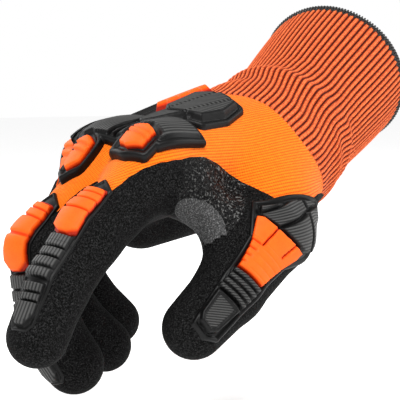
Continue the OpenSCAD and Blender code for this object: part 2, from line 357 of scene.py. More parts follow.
# the underside of the palm is coated all over, up to the heel
faces_down = (skin_normals @ OUT_OF_BACK < -0.5) & (to_hand(skin_points)[:, 0] > 30)
dip = np.where(faces_down, np.maximum(dip, 2), dip)
print("coated:", round(100 * float((dip > 0).mean())), "% of the skin")

# %% [markdown]
# ## Cut the skin where the glove bends
# One glove is one skin, but it has to bend with sixteen joints, and each fabric piece can follow only two
# bodies. So the skin is cut halfway between the joints, where nothing bends: a root, a middle and an end for
# each digit, and the hand.
# The pieces are numbered: the hand is 0, and the next three are the first digit's.

# %% Share the skin out between the pieces
PIECES = ["hand"] + [f"{d}_{part}" for d in RADII for part in ("root", "middle", "end")]
# the share of a digit's first stretch where its root ends, and how far from the joint the root starts
MIDDLE_CUT = {d: (0.6 if d == "thumb" else 0.62) for d in RADII}
ROOT_START = {d: (12 if d == "thumb" else 2) for d in RADII}
# how many faces wide the root is at least, where it borders the hand
BAND = 8


def numbers_of(digit_number):
    """The numbers of a digit's root, middle and end."""
    return 1 + 3 * digit_number, 2 + 3 * digit_number, 3 + 3 * digit_number


def stretch_length(digit, stretch):
    """The length of a stretch."""
    p = CHAINS[digit]
    return np.linalg.norm(p[stretch + 1] - p[stretch])


def share_out(middles):
    """The number of the piece that each face belongs to."""
    _, palm, digits = skin_field(middles)
    nearest = np.argmin([digits[d] for d in RADII], axis=0)
    piece = np.zeros(len(middles), int)
    for i, d in enumerate(RADII):
        along = along_digit(middles, d, 0)
        close = digits[d] < palm + 3
        mine = (nearest == i) & (close if d == "thumb" else close | (along > 10))
        middle = mine & (along > MIDDLE_CUT[d] * stretch_length(d, 0))
        end = middle & (along_digit(middles, d, 1) > 0.5 * stretch_length(d, 1))
        for number, chosen in zip(numbers_of(i), (mine & (along > ROOT_START[d]), middle, end)):
            piece[chosen] = number
    return piece


face_piece = share_out(skin_points[skin_quads].mean(1))

# an end piece never touches the hand, nor does a middle piece: bands of faces along the hand's edge go to
# the middle piece, and then to the root
for i in range(len(RADII)):
    root, middle, end = numbers_of(i)
    beyond_root = np.isin(face_piece, (middle, end))
    near = np.zeros(len(skin_points), bool)
    near[skin_quads[~beyond_root]] = True
    for _ in range(2 * BAND):
        near[skin_quads[beyond_root & near[skin_quads].any(1)]] = True
    face_piece[(face_piece == end) & near[skin_quads].any(1)] = middle
for _ in range(BAND):
    for i in range(len(RADII)):
        root, middle, end = numbers_of(i)
        near = np.zeros(len(skin_points), bool)
        near[skin_quads[~np.isin(face_piece, (root, middle, end))]] = True
        near[skin_quads[(face_piece == root) & near[skin_quads].any(1)]] = True
        face_piece[(face_piece == middle) & near[skin_quads].any(1)] = root

# the skin stops a little under the rib cuff, whose edge lies on a slanted line round the wrist
CUFF_U = unit(OUT_OF_BACK - cuff_way * (cuff_way @ OUT_OF_BACK))
CUFF_V = np.cross(cuff_way, CUFF_U)
CUFF_V = CUFF_V * np.sign(CUFF_V @ TO_THUMB)


def rib_line(angle):
    """How far the rib cuff reaches past the wrist onto the hand, at an angle from the top to the thumb."""
    return 25 + 9 * np.exp(-(((angle - 1.35) / 0.75) ** 2)) + 2 * np.cos(angle)


from_axis = skin_points - wrist
down_cuff = from_axis @ cuff_way
around_cuff = np.arctan2(from_axis @ CUFF_V, from_axis @ CUFF_U)
under_rib = (down_cuff + rib_line(around_cuff) > 5)[skin_quads].all(1)
face_piece[(face_piece == 0) & under_rib] = -1
print("faces of the hand and the digits:", [int((face_piece == i).sum()) for i in range(len(PIECES))])

# %% [markdown]
# ## Weights across the joints
# A weight of 0 follows the first body and 1 follows the second. Over a finger joint the weight rises with the
# distance from the plane that halves the bend. Over a root it rises with the distance from the root's own
# edge, so that the web between two fingers stays whole.


def smooth(t):
    """A step from 0 to 1 with soft ends."""
    t = np.clip(t, 0, 1)
    return t * t * (3 - 2 * t)


def joint_weight(points, digit, joint):
    """The weight of points for joint 1 or 2 of a digit."""
    p = CHAINS[digit]
    across = unit(unit(p[joint] - p[joint - 1]) + unit(p[joint + 1] - p[joint]))
    # how far to each side of the joint the fabric bends
    bend_reach = min(0.36 * stretch_length(digit, 1), 10)
    return smooth(0.5 + (points - p[joint]) @ across / (2 * bend_reach))


def points_of(piece):
    """The points of a piece of the skin."""
    return np.unique(skin_quads[face_piece == piece])


def nearest_of(points, edge):
    """How far each point is from the nearest point of an edge."""
    return np.array([((edge - p) ** 2).sum(1).min() for p in points]) ** 0.5


def root_weight(points, root):
    """The weight of points of a root: 0 at its own edge, 1 where the middle piece takes over."""
    others = np.unique(skin_quads[(face_piece != root) & (face_piece != root + 1)])
    a = nearest_of(points, skin_points[np.intersect1d(points_of(root), others)])
    b = nearest_of(points, skin_points[np.intersect1d(points_of(root), points_of(root + 1))])
    return smooth(a / (a + b + 1e-9))


# over how many millimetres a middle's and an end's weights fade out toward the piece before
MIDDLE_FADE, END_FADE = 8, 6
skin_weight = np.zeros((len(PIECES), len(skin_points)))
for i, d in enumerate(RADII):
    root, middle, end = numbers_of(i)
    own = points_of(root)
    skin_weight[root, own] = root_weight(skin_points[own], root)
    for piece, joint, fade in ((middle, 1, MIDDLE_FADE), (end, 2, END_FADE)):
        before, own = own, points_of(piece)
        away = nearest_of(skin_points[own], skin_points[np.intersect1d(before, own)])
        skin_weight[piece, own] = joint_weight(skin_points[own], d, joint) * smooth(away / fade)
    shared = np.intersect1d(points_of(root), points_of(middle))
    print(d, "weight where the middle takes over:", round(float(skin_weight[root, shared].min()), 2))

# %% [markdown]
# ## Closed sleeves
# Fabric has a thickness. Each piece is a sleeve: an outside, an inside a millimetre or two below it, and a rim
# along every cut. The same helper closes the moulded guards.

# %% A helper that makes a closed shell
def shell(name, outside, inside, quads, smooth_ways=None):
    """A closed mesh in metres from two matching sets of points (mm) and the quads of the outside.
    Returns the object and which of the points it kept."""
    used, flat = np.unique(quads, return_inverse=True)
    quads = flat.reshape(-1, 4)
    n = len(used)
    # an edge that no neighbour runs along the other way is open, and gets a rim
    tail = quads.ravel()
    head = np.roll(quads, -1, axis=1).ravel()
    forward = tail.astype(np.int64) * n + head
    backward = head.astype(np.int64) * n + tail
    open_edge = ~np.isin(forward, backward)
    a, b = tail[open_edge], head[open_edge]
    rims = np.stack([b, a, a + n, b + n], 1)
    faces = np.concatenate([quads, quads[:, ::-1] + n, rims])
    points = np.concatenate([outside[used], inside[used]]) * MM
    mesh = bpy.data.meshes.new(name)
    mesh.vertices.add(len(points))
    mesh.vertices.foreach_set("co", points.ravel())
    mesh.loops.add(faces.size)
    mesh.loops.foreach_set("vertex_index", faces.ravel())
    mesh.polygons.add(len(faces))
    mesh.polygons.foreach_set("loop_start", np.arange(0, faces.size, 4))
    mesh.polygons.foreach_set("loop_total", np.full(len(faces), 4))
    mesh.update(calc_edges=True)
    mesh.validate()
    mesh.polygons.foreach_set("use_smooth", np.ones(len(mesh.polygons), bool))
    if smooth_ways is not None:
        ways = np.concatenate([smooth_ways[used], -smooth_ways[used]])
        mesh.normals_split_custom_set_from_vertices(ways.tolist())
    obj = bpy.data.objects.new(name, mesh)
    bpy.context.scene.collection.objects.link(obj)
    return obj, used


def mark(obj, name, values, kind="FLOAT"):
    """Write a number, or a vector, at each point of a shell for its material to read."""
    layer = obj.data.attributes.new(name, kind, "POINT")
    both = np.concatenate([values, values]).astype(np.float32)
    layer.data.foreach_set("value" if kind == "FLOAT" else "vector", both.ravel())


def bend_with(obj):
    """Bake a shell's placement into its points."""
    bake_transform(obj)


def follow(obj, piece):
    """Join a shell of the hand to the hand's body; any other shell has its placement baked into its points."""
    if piece == 0:
        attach(obj, "hand")
        return
    bend_with(obj)


# %% Make the knit sleeves and the dipped coats
KNIT, COAT = 1.8, 0.85
PIECE_NODES = {"root": "base", "middle": "mid", "end": "tip"}
# the back of the hand curves round a line this far under the wrist, at about this radius
PALM_LINE, ROUND_RADIUS = 18, 44.0
hx, hy, hz = to_hand(skin_points).T
# where each point lies in the knit: along its columns and across them, in millimetres
skin_weave = np.stack([hx, ROUND_RADIUS * np.arctan2(hy, hz + PALM_LINE), hz], 1)
knits, coats = {}, {}
# in the hollow beside the thumb the film dried in wrinkles
HOLLOW, HOLLOW_REACH, WRINKLE = from_hand(64, 44, -14), 24, 0.7
wrinkle = np.sin(hx * 1.4 + 1.8 * np.sin(hz * 0.7 + hy * 0.4))
wrinkle = wrinkle * np.sin(hz * 1.2 - hy * 0.9 + 1.5 * np.sin(hx * 0.5))
wrinkle *= WRINKLE * smooth((HOLLOW_REACH - np.linalg.norm(skin_points - HOLLOW, axis=1)) / 6)
coat_lift = np.clip(0.55 * dip, -0.3, COAT) + np.abs(wrinkle) * (dip > 2)
coat_outside = skin_points + coat_lift[:, None] * skin_normals
coat_inside = skin_points - 0.5 * skin_normals
knit_inside = skin_points - KNIT * skin_normals
for i, piece in enumerate(PIECES):
    mine = skin_quads[face_piece == i]
    knits[piece], used = shell(f"{piece}_knit", skin_points, knit_inside, mine, skin_normals)
    mark(knits[piece], "weave", skin_weave[used], "FLOAT_VECTOR")
    follow(knits[piece], i)

    coated = mine[(dip[mine] > -1.5).any(1)]
    coats[piece], used = shell(f"{piece}_coat", coat_outside, coat_inside, coated, skin_normals)
    follow(coats[piece], i)

for d in RADII:
    for part, node in PIECE_NODES.items():
        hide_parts(f"{d}_{node}_liner")
        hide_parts(f"{d}_{node}_coat")
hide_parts("hand_liner")
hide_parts("palm_coat")
print("made", len(knits), "knit sleeves and", len(coats), "coats")

# %% [markdown]
# ## A patch where the thumb leaves the palm
# The fork of the thumb wears first, so a lens of thicker nitrile is pressed onto it.

# %% Press the patch on
PATCH_ENDS = (from_hand(92, 45, -12), from_hand(72, 49, -39))
PATCH_HALF = 8.5


def lens(points, ends, half):
    """How far points are inside a lens whose tips are at the two ends."""
    middle = (ends[0] + ends[1]) / 2
    way = unit(ends[1] - ends[0])
    reach = np.linalg.norm(ends[1] - ends[0]) / 2
    t = (points - middle) @ way / reach
    away = np.linalg.norm(points - middle - np.outer((points - middle) @ way, way), axis=1)
    return half * (1 - t * t) - away


patch = lens(skin_points, PATCH_ENDS, PATCH_HALF)
on_fork = np.isin(face_piece, (0, PIECES.index("thumb_root")))
patch_quads = skin_quads[(patch[skin_quads] > -1.2).any(1) & on_fork]
patch_lift = COAT + np.clip(0.6 * patch, -0.4, 0.8)[:, None]
patch_outside = skin_points + patch_lift * skin_normals
crotch_patch, used = shell("thumb_fork_patch", patch_outside, skin_points, patch_quads, skin_normals)
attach(crotch_patch, "hand")
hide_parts("thumb_crotch_patch")
print("the patch has", len(patch_quads), "faces")

# %% [markdown]
# ## The rib cuff
# A rib cuff is a tube of knit with deep lengthwise ridges, which is why it stretches over the hand. It is made
# as a grid: round the cuff, and from its rim to the slanted line where the knit of the hand begins. The radius
# is the skin's own near the wrist, and swells to the rim.

# %% A tree for finding the skin along a line
skin_tree = BVHTree.FromPolygons(skin_points.tolist(), skin_quads.tolist())


def reach_skin(starts, ways, most=120.0):
    """How far it is from each start, along its way, to the skin."""
    out = np.full(len(starts), np.nan)
    for i, (start, way) in enumerate(zip(starts, ways)):
        hit = skin_tree.ray_cast(Vector(start), Vector(way), most)
        if hit[0] is not None:
            out[i] = hit[3]
    return out


# %% The cuff's own shape
RIBS, STEPS_PER_RIB, RIB_ROWS = 78, 7, 84
# the width of the bound edge, the cuff's radius at the rim, and its radius at the wrist
BINDING, RIM_RADIUS, WRIST_RADIUS = 4.5, 36.2, 31.5
ribs_angle = np.linspace(0, 2 * math.pi, RIBS * STEPS_PER_RIB, endpoint=False)
tread = np.linspace(0, 1, RIB_ROWS)
round_grid, tread_grid = np.meshgrid(ribs_angle, tread, indexing="ij")
signed = (round_grid + math.pi) % (2 * math.pi) - math.pi
rim_end = cuff_length - BINDING + 1
start_line = -rib_line(signed)
distance = start_line + (rim_end - start_line) * tread_grid


def cuff_ways(angle):
    """The way out of the cuff's axis at some angles."""
    return np.cos(angle)[..., None] * CUFF_U + np.sin(angle)[..., None] * CUFF_V


axis_points = wrist + distance[..., None] * cuff_way
out_ways = cuff_ways(round_grid)
reach = reach_skin(axis_points.reshape(-1, 3), out_ways.reshape(-1, 3)).reshape(distance.shape)
reach = np.where(distance > 30, np.nan, reach)
own = WRIST_RADIUS + (RIM_RADIUS - WRIST_RADIUS) * smooth((distance - 5) / (cuff_length - 5)) ** 0.8
share = smooth((distance - 4) / 24)
radius = np.where(np.isnan(reach), own, own * share + np.nan_to_num(reach, nan=0.0) * (1 - share))
radius = np.maximum(radius, np.nan_to_num(reach, nan=0.0) * (distance < 4))

# near the wrist the ridges bunch and run in waves, and the edge of the cuff sinks into the hand's knit
wave = 0.045 * np.sin(distance / 9 + 2 * np.sin(signed)) * smooth((30 - distance) / 30) * smooth(tread_grid * 6)
phase = (round_grid + wave) * RIBS / (2 * math.pi)
ridge = 1 - np.abs(2 * (phase % 1) - 1) ** 2.4
uneven = 0.7 + 0.3 * np.sin(distance / 3 + 3 * round_grid) * (distance < 20)
ridge_height = (0.5 + 0.75 * smooth(tread_grid * 5)) * uneven
bunch = 0.7 * np.sin(distance / 3.1 + 1.5 * np.sin(2 * signed)) * np.exp(-(((distance - 2) / 14) ** 2))
sink = -0.8 * smooth(1 - tread_grid * 26)
outer_radius = radius + 0.35 + ridge_height * ridge + bunch + sink
cuff_out = axis_points + outer_radius[..., None] * out_ways
cuff_in = axis_points + (radius - 1.6)[..., None] * out_ways


def ring_quads(columns, rows):
    """The quads of a tube whose points are numbered column by column, facing out."""
    i, j = np.meshgrid(np.arange(columns), np.arange(rows - 1), indexing="ij")
    a = i * rows + j
    b = (i + 1) % columns * rows + j
    return np.stack([a, b, b + 1, a + 1], -1).reshape(-1, 4)


def facing(points, quads, outward):
    """The quads, turned over if most of them face inwards."""
    c = points[quads]
    ways = np.cross(c[:, 2] - c[:, 0], c[:, 3] - c[:, 1])
    return quads if (ways * outward).sum() > 0 else quads[:, ::-1]


cuff_points = cuff_out.reshape(-1, 3)
tube_quads = ring_quads(len(ribs_angle), RIB_ROWS)
tube_quads = facing(cuff_points, tube_quads, out_ways.reshape(-1, 3)[tube_quads[:, 0]])
rib_cuff, used = shell("rib_cuff_knit", cuff_points, cuff_in.reshape(-1, 3), tube_quads)
mark(rib_cuff, "ridge", ridge.reshape(-1)[used])
cuff_lay = np.stack([distance, round_grid * 34, np.zeros_like(ridge)], -1).reshape(-1, 3)
mark(rib_cuff, "weave", cuff_lay[used], "FLOAT_VECTOR")
bend_with(rib_cuff)
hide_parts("rib_cuff")
print("the rib cuff has", RIBS, "ridges and", len(tube_quads), "faces outside")

# %% [markdown]
# ## The overlocked rim
# The raw edge of the cuff is bound by an overlock stitch: a soft roll wrapped in slanted threads. The roll is
# a swept ring. The threads repeat, so Geometry Nodes place one short curve at each point of a circle.

# %% The roll under the threads
ROLL_STEPS, ROLL_SIDES = 180, 16
roll_round = np.linspace(0, 2 * math.pi, ROLL_STEPS, endpoint=False)
roll_side = np.linspace(0, 2 * math.pi, ROLL_SIDES, endpoint=False)
ra, sa = np.meshgrid(roll_round, roll_side, indexing="ij")
ROLL_RADIUS, ROLL_PLACE = RIM_RADIUS - 0.3, cuff_length - BINDING / 2
roll_radius = ROLL_RADIUS + 1.5 * np.cos(sa) * (1 + 0.05 * np.sin(ra * 31))
roll_along = ROLL_PLACE + (BINDING / 2 + 0.4) * np.sin(sa)
roll_points = wrist + roll_along[..., None] * cuff_way + roll_radius[..., None] * cuff_ways(ra)
roll_points = roll_points.reshape(-1, 3)
i, j = np.meshgrid(np.arange(ROLL_STEPS), np.arange(ROLL_SIDES), indexing="ij")
a, b = i * ROLL_SIDES, (i + 1) % ROLL_STEPS * ROLL_SIDES
after = (j + 1) % ROLL_SIDES
roll_quads = np.stack([a + j, b + j, b + after, a + after], -1).reshape(-1, 4)
centre_line = wrist + ROLL_PLACE * cuff_way + ROLL_RADIUS * cuff_ways(ra).reshape(-1, 3)
roll_quads = facing(roll_points, roll_quads, (roll_points - centre_line)[roll_quads[:, 0]])
mesh = bpy.data.meshes.new("cuff_rim_roll")
mesh.from_pydata((roll_points * MM).tolist(), [], roll_quads.tolist())
mesh.polygons.foreach_set("use_smooth", np.ones(len(mesh.polygons), bool))
rim_roll = bpy.data.objects.new("cuff_rim_roll", mesh)
bpy.context.scene.collection.objects.link(rim_roll)
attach(rim_roll, "cuff")
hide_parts("cuff_binding")

# %% Geometry Nodes: overlock threads round the rim
def add_input(tree, name, kind, value):
    """A named input of a tree, with its value."""
    socket = tree.interface.new_socket(name, in_out="INPUT", socket_type=kind)
    socket.default_value = value
    return socket.identifier


def thread_tree(material):
    """A ring of slanted threads, each a bent tube that wraps over the rim."""
    tree = bpy.data.node_groups.new("overlock_threads", "GeometryNodeTree")
    ids = {
        "Count": add_input(tree, "Count", "NodeSocketInt", 150),
        "Ring radius": add_input(tree, "Ring radius", "NodeSocketFloat", 0.036),
        "Thread radius": add_input(tree, "Thread radius", "NodeSocketFloat", 0.0005),
        "Wrap radius": add_input(tree, "Wrap radius", "NodeSocketFloat", 0.00235),
    }
    tree.interface.new_socket("Geometry", in_out="OUTPUT", socket_type="NodeSocketGeometry")
    add, link = tree.nodes.new, tree.links.new
    start, end = add("NodeGroupInput"), add("NodeGroupOutput")
    ring = add("GeometryNodeMeshCircle")
    link(start.outputs["Count"], ring.inputs["Vertices"])
    link(start.outputs["Ring radius"], ring.inputs["Radius"])
    # one thread, in a frame where X points out of the ring and Z along the cuff
    wrap = add("GeometryNodeCurveArc")
    wrap.inputs["Resolution"].default_value = 9
    link(start.outputs["Wrap radius"], wrap.inputs["Radius"])
    wrap.inputs["Start Angle"].default_value = math.radians(-75)
    wrap.inputs["Sweep Angle"].default_value = math.radians(330)
    profile = add("GeometryNodeCurvePrimitiveCircle")
    profile.inputs["Resolution"].default_value = 6
    link(start.outputs["Thread radius"], profile.inputs["Radius"])
    tube = add("GeometryNodeCurveToMesh")
    link(wrap.outputs["Curve"], tube.inputs["Curve"])
    link(profile.outputs["Curve"], tube.inputs["Profile Curve"])
    tube.inputs["Fill Caps"].default_value = True
    # the arc is drawn in XY: stand it up, so that it wraps the roll, and slant it a little
    stand = add("GeometryNodeTransform")
    stand.inputs["Rotation"].default_value = (math.radians(90), 0, math.radians(14))
    link(tube.outputs["Mesh"], stand.inputs["Geometry"])
    spin = add("FunctionNodeAlignRotationToVector")
    spin.axis = "X"
    spot = add("GeometryNodeInputPosition")
    link(spot.outputs["Position"], spin.inputs["Vector"])
    put = add("GeometryNodeInstanceOnPoints")
    link(ring.outputs["Mesh"], put.inputs["Points"])
    link(stand.outputs["Geometry"], put.inputs["Instance"])
    link(spin.outputs["Rotation"], put.inputs["Rotation"])
    real = add("GeometryNodeRealizeInstances")
    link(put.outputs["Instances"], real.inputs["Geometry"])
    paint = add("GeometryNodeSetMaterial")
    paint.inputs["Material"].default_value = material
    link(real.outputs["Geometry"], paint.inputs["Geometry"])
    link(paint.outputs["Geometry"], end.inputs["Geometry"])
    return tree, ids


def bake_tree(name, tree, values):
    """Run a tree on an empty object and keep the result as a plain mesh."""
    holder = bpy.data.objects.new(f"{name}_source", bpy.data.meshes.new(f"{name}_source"))
    bpy.context.scene.collection.objects.link(holder)
    modifier = holder.modifiers.new("nodes", "NODES")
    modifier.node_group = tree
    for identifier, value in values.items():
        modifier[identifier] = value
    bpy.context.view_layer.update()
    baked = bpy.data.meshes.new_from_object(holder.evaluated_get(bpy.context.evaluated_depsgraph_get()))
    bpy.data.objects.remove(holder)
    baked.name = name
    obj = bpy.data.objects.new(name, baked)
    bpy.context.scene.collection.objects.link(obj)
    return obj


threads_black = bpy.data.materials.new("overlock_thread")
tree, ids = thread_tree(threads_black)
thread_sizes = {ids["Count"]: 150, ids["Ring radius"]: ROLL_RADIUS * MM}
rim_threads = bake_tree("cuff_rim_threads", tree, thread_sizes)
ring_frame = np.eye(4)
ring_frame[:3, :3] = np.stack([CUFF_U, np.cross(cuff_way, CUFF_U), cuff_way], 1)
ring_frame[:3, 3] = (wrist + ROLL_PLACE * cuff_way) * MM
rim_threads.data.transform(Matrix(ring_frame.tolist()))
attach(rim_threads, "cuff")
print("the rim has", len(rim_threads.data.polygons), "faces of thread")

# %% [markdown]
# ## Moulded guards
# The guards are thick rubber, moulded flat with steps, grooves and a rim, and bonded to the knit, so they
# follow the skin's curves. Each is made the same way: a fine grid is laid over the skin, a height is worked
# out at each point from the outlines of its blocks, and the grid is lifted by that height. Black and orange
# rubber are two pieces, because they are two pours in the mould.

# %% Outlines and their blocks
def inside_of(x, y, outline):
    """How far points are inside a many-sided outline. It is less than zero outside."""
    outline = np.array(outline, float)
    after = np.roll(outline, -1, axis=0)
    crossings = np.zeros(x.shape, bool)
    nearest = np.full(x.shape, np.inf)
    for (ax, ay), (bx, by) in zip(outline, after):
        ex, ey = bx - ax, by - ay
        t = np.clip(((x - ax) * ex + (y - ay) * ey) / (ex * ex + ey * ey), 0, 1)
        nearest = np.minimum(nearest, np.hypot(x - ax - t * ex, y - ay - t * ey))
        between = (ay > y) != (by > y)
        crossings ^= between & (x < ex * (y - ay) / (ey if ey else 1e-9) + ax)
    return np.where(crossings, nearest, -nearest)


# the height of what isn't part of a guard: it lies hidden under the skin. KEEP is where a guard's edge is cut.
BELOW, KEEP = -1.6, -1.2


def block(inside, top, slope, foot=0.0):
    """The height of a block with sloped sides: foot at its outline, top where it is slope inside."""
    rise = foot + (top - foot) * np.clip(inside / slope, 0, 1)
    return np.where(inside > 0, rise, np.maximum(BELOW, foot + inside * 4))


def rim_line(inside, at, width, top):
    """A rounded rim that runs along an outline, some way inside it."""
    return top * np.sqrt(np.clip(1 - ((inside - at) / width) ** 2, 0, 1))


def laid_guard(base, ways, height):
    """A closed guard: a grid over the skin, lifted along its ways by its height. Only what shows is kept."""
    top = base + height[..., None] * ways
    under = base + (BELOW - 0.3) * ways
    n, m = height.shape
    i, j = np.meshgrid(np.arange(n - 1), np.arange(m - 1), indexing="ij")
    a = i * m + j
    quads = np.stack([a, a + m, a + m + 1, a + 1], -1).reshape(-1, 4)
    flat = height.reshape(-1)
    quads = quads[(flat[quads] > KEEP).any(1)]
    flat_ways = ways.reshape(-1, 3)
    quads = facing(top.reshape(-1, 3), quads, flat_ways[quads[:, 0]])
    return top.reshape(-1, 3), under.reshape(-1, 3), quads


def soften(values, times):
    """Average a grid with its neighbours a few times."""
    for _ in range(times):
        padded = np.pad(values, 1, mode="edge")
        ahead_and_behind = padded[:-2, 1:-1] + padded[2:, 1:-1]
        values = (padded[1:-1, 1:-1] * 4 + ahead_and_behind + padded[1:-1, :-2] + padded[1:-1, 2:]) / 8
    return values


def filled(values):
    """A grid whose gaps take the value of the nearest known row."""
    for row in values:
        known = ~np.isnan(row)
        if known.any() and not known.all():
            row[~known] = np.interp(np.flatnonzero(~known), np.flatnonzero(known), row[known])
    good = [i for i, row in enumerate(values) if not np.isnan(row).any()]
    for i in range(len(values)):
        if i not in good:
            values[i] = values[min(good, key=lambda g: abs(g - i))]
    return values


# %% A grid over the back of a digit
def digit_grid(digit, first, last, centre, half, step=0.32):
    """A grid over a digit: rows along its length from first to last, columns round it. centre is the angle
    of the guard's middle line from the back of the finger toward the thumb; half is its half width, in mm."""
    p, r = CHAINS[digit], RADII[digit]
    lengths = [stretch_length(digit, k) for k in range(3)]
    starts = [0, lengths[0], lengths[0] + lengths[1]]
    rows = np.arange(first, last, step)
    cols = np.arange(-half, half + step, step)
    axis = unit(JOINTS[f"{digit}_end_bend"]["axis"])
    ways = [unit(p[k + 1] - p[k]) for k in range(3)]
    lines, outs, sides = [], [], []
    for s in rows:
        k = int(s >= starts[1]) + int(s >= starts[2])
        way = ways[k]
        lines.append(p[k] + (s - starts[k]) * way)
        for joint in (1, 2):
            near = smooth(0.5 + (s - starts[joint]) / 16)
            if 0 < near < 1:
                way = unit(ways[joint - 1] * (1 - near) + ways[joint] * near)
        side = unit(axis - way * (way @ axis))
        sides.append(side)
        outs.append(np.cross(way, side))
    lines, outs, sides = np.array(lines), np.array(outs), np.array(sides)
    radius = np.interp(rows, [0, starts[1], starts[2], starts[2] + lengths[2]], r)
    angle = math.radians(centre) + cols[None, :] / radius[:, None]
    rays = np.cos(angle)[..., None] * outs[:, None] + np.sin(angle)[..., None] * sides[:, None]
    origin = np.repeat(lines[:, None], len(cols), 1)
    reach = reach_skin(origin.reshape(-1, 3), rays.reshape(-1, 3), 30.0).reshape(rays.shape[:2])
    reach = soften(filled(reach), 6)
    s_grid, v_grid = np.meshgrid(rows, cols, indexing="ij")
    return origin + reach[..., None] * rays, rays, s_grid, v_grid


def cut_guard(name, digit, grid, height, painted_light, nodes):
    """Cut a digit's guard in two halfway along its middle stretch."""
    base, ways, s_grid, v_grid = grid
    outside, inside, quads = laid_guard(base, ways, height)
    split = stretch_length(digit, 0) + 0.5 * stretch_length(digit, 1)
    before = s_grid.reshape(-1)[quads].mean(1) < split
    lay = np.stack([s_grid, v_grid, painted_light], -1).reshape(-1, 3)
    pieces = []
    for joint, part, chosen in ((1, "upper", quads[before]), (2, "lower", quads[~before])):
        if len(chosen) < 4:
            continue
        obj, used = shell(f"{digit}_{name}_{part}", outside, inside, chosen)
        mark(obj, "lay", lay[used], "FLOAT_VECTOR")
        bend_with(obj)
        pieces.append(obj)
    for obj, names in zip(pieces, nodes):
        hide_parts(*names)
    return pieces


# %% The finger guards
# where each finger's orange steps and black blocks end, in millimetres from the knuckle
ORANGE_STEPS = {
    "index": [33, 36.2, 40, 45, 55], "middle": [37, 40.5, 44.5, 49.5, 57.5],
    "ring": [34, 37.5, 41.5, 47, 56], "little": [25, 28, 31.5, 36.5, 43.5],
}
BLACK_BLOCKS = {
    "index": [55.5, 62, 66.5, 70.8, 74.6, 76, 79.8, 83.4, 93.5],
    "middle": [58.5, 65, 70.5, 76, 81, 83, 87.5, 91.8, 102],
    "ring": [56.5, 61.5, 66, 70, 74],
    "little": [44, 47.5, 51, 54.5, 57.5],
}
GUARD_CENTRE = {"index": 17, "middle": 20, "ring": 4, "little": -4}
GUARD_HALF = {"index": 6.6, "middle": 6.2, "ring": 6.0, "little": 5.4}
TIP_GUARDED = ("index", "middle")
# heights over the skin, in millimetres: the flange, a black block, the bed of the orange steps and a step
FLANGE, BLACK_TOP, ORANGE_BED, ORANGE_TOP = 1.0, 3.4, 2.3, 3.9
rubber_black, rubber_orange = [], []


def framed(inside, flange_top, slope, at, width, top):
    """A thin flange with a rounded rim along its outline."""
    flange = block(inside, flange_top, slope, 0.2)
    return np.maximum(flange, np.where(inside > 0, rim_line(inside, at, width, top), BELOW))


def sharp_step(inside, start, slope):
    """A mask for a material: 0 outside, 1 from start plus slope inside."""
    return np.clip((inside - start) / slope, 0, 1)


for f in FINGERS:
    half = GUARD_HALF[f]
    steps, blocks = ORANGE_STEPS[f], BLACK_BLOCKS[f]
    tip = blocks[-1]
    grid = digit_grid(f, steps[0] - 9, tip + 3.5, GUARD_CENTRE[f], half + 3)
    _, _, s, v = grid
    narrow = half - 1.8
    flange = [
        (steps[0] - 7.5, -1.5), (steps[0] - 2.5, half - 1.2), (steps[3], half), (blocks[4], half - 0.3),
        (tip - 1, half - 1.2), (tip + 2, narrow - 1.6), (tip + 2, -narrow + 1.2), (tip - 1, -half + 1.6),
        (blocks[4], -half + 0.3), (steps[3], -half), (steps[0] - 1, -half + 0.6),
    ]
    black = framed(inside_of(s, v, flange), FLANGE, 0.6, 0.8, 0.8, 1.7)
    # the block tops are marked for a painted highlight: the black rubber paints them lighter grey than the
    # sides
    painted_highlight_mask = np.zeros_like(s)
    for k, (a, b) in enumerate(zip(blocks, blocks[1:])):
        if f in TIP_GUARDED and k == 4:
            continue
        w = narrow - (1.0 if f in TIP_GUARDED and k > 3 else 0.3)
        end = [(b - 0.25, w), (b - 0.25, -w)]
        if k == len(blocks) - 2:
            end = [(b - 5, w), (b - 0.4, w - 2.2), (b - 0.4, -w + 2.2), (b - 5, -w)]
        d = inside_of(s, v, [(a + 0.35, w)] + end + [(a + 0.35, -w)])
        black = np.maximum(black, block(d + 0.4, BLACK_TOP, 0.8, 1.4))
        painted_highlight_mask = np.maximum(painted_highlight_mask, sharp_step(d, -0.1, 0.35))
    orange = np.full_like(s, BELOW)
    for k, (a, b) in enumerate(zip(steps, steps[1:])):
        w0, w1 = narrow - 0.4 + 0.15 * k - (0.8 if k == 0 else 0), narrow - 0.2 + 0.2 * k
        outline = [(a + 0.25, w0), (b - 0.15, w1), (b - 0.15, -w1), (a + 0.25, -w0)]
        if k == 3:
            outline = [
                (a + 0.3, w1 - 0.2), (b - 2.4, w1 - 0.4), (b - 0.2, 1.6),
                (b - 0.2, -1.6), (b - 2.4, -w1 + 0.4), (a + 0.3, -w1 + 0.2),
            ]
        d = inside_of(s, v, outline)
        orange = np.maximum(orange, block(d + 0.5, ORANGE_TOP + 0.15 * min(k, 2), 0.8, 1.6))
        orange = np.maximum(orange, np.where(d > KEEP, ORANGE_BED, BELOW))
    first, last = steps[0] - 0.5, steps[-1] + 0.3
    bed = [(first, narrow - 1), (last, narrow + 0.2), (last, -narrow - 0.2), (first, -narrow + 1)]
    orange = np.where(inside_of(s, v, bed) > -0.2, orange, BELOW)
    # the orange's own height is what the orange rubber's painted shade reads
    rubber_orange += cut_guard("pads", f, grid, orange, np.clip(orange, 0, 9), [[f"{f}_base_pads"]])
    lower_nodes = [f"{f}_mid_guard"] + ([f"{f}_tip_guard"] if f in TIP_GUARDED else [])
    rubber_black += cut_guard("guard", f, grid, black, painted_highlight_mask, [[f"{f}_base_guard"], lower_nodes])
print("finger guards:", len(rubber_black), "black and", len(rubber_orange), "orange pieces")

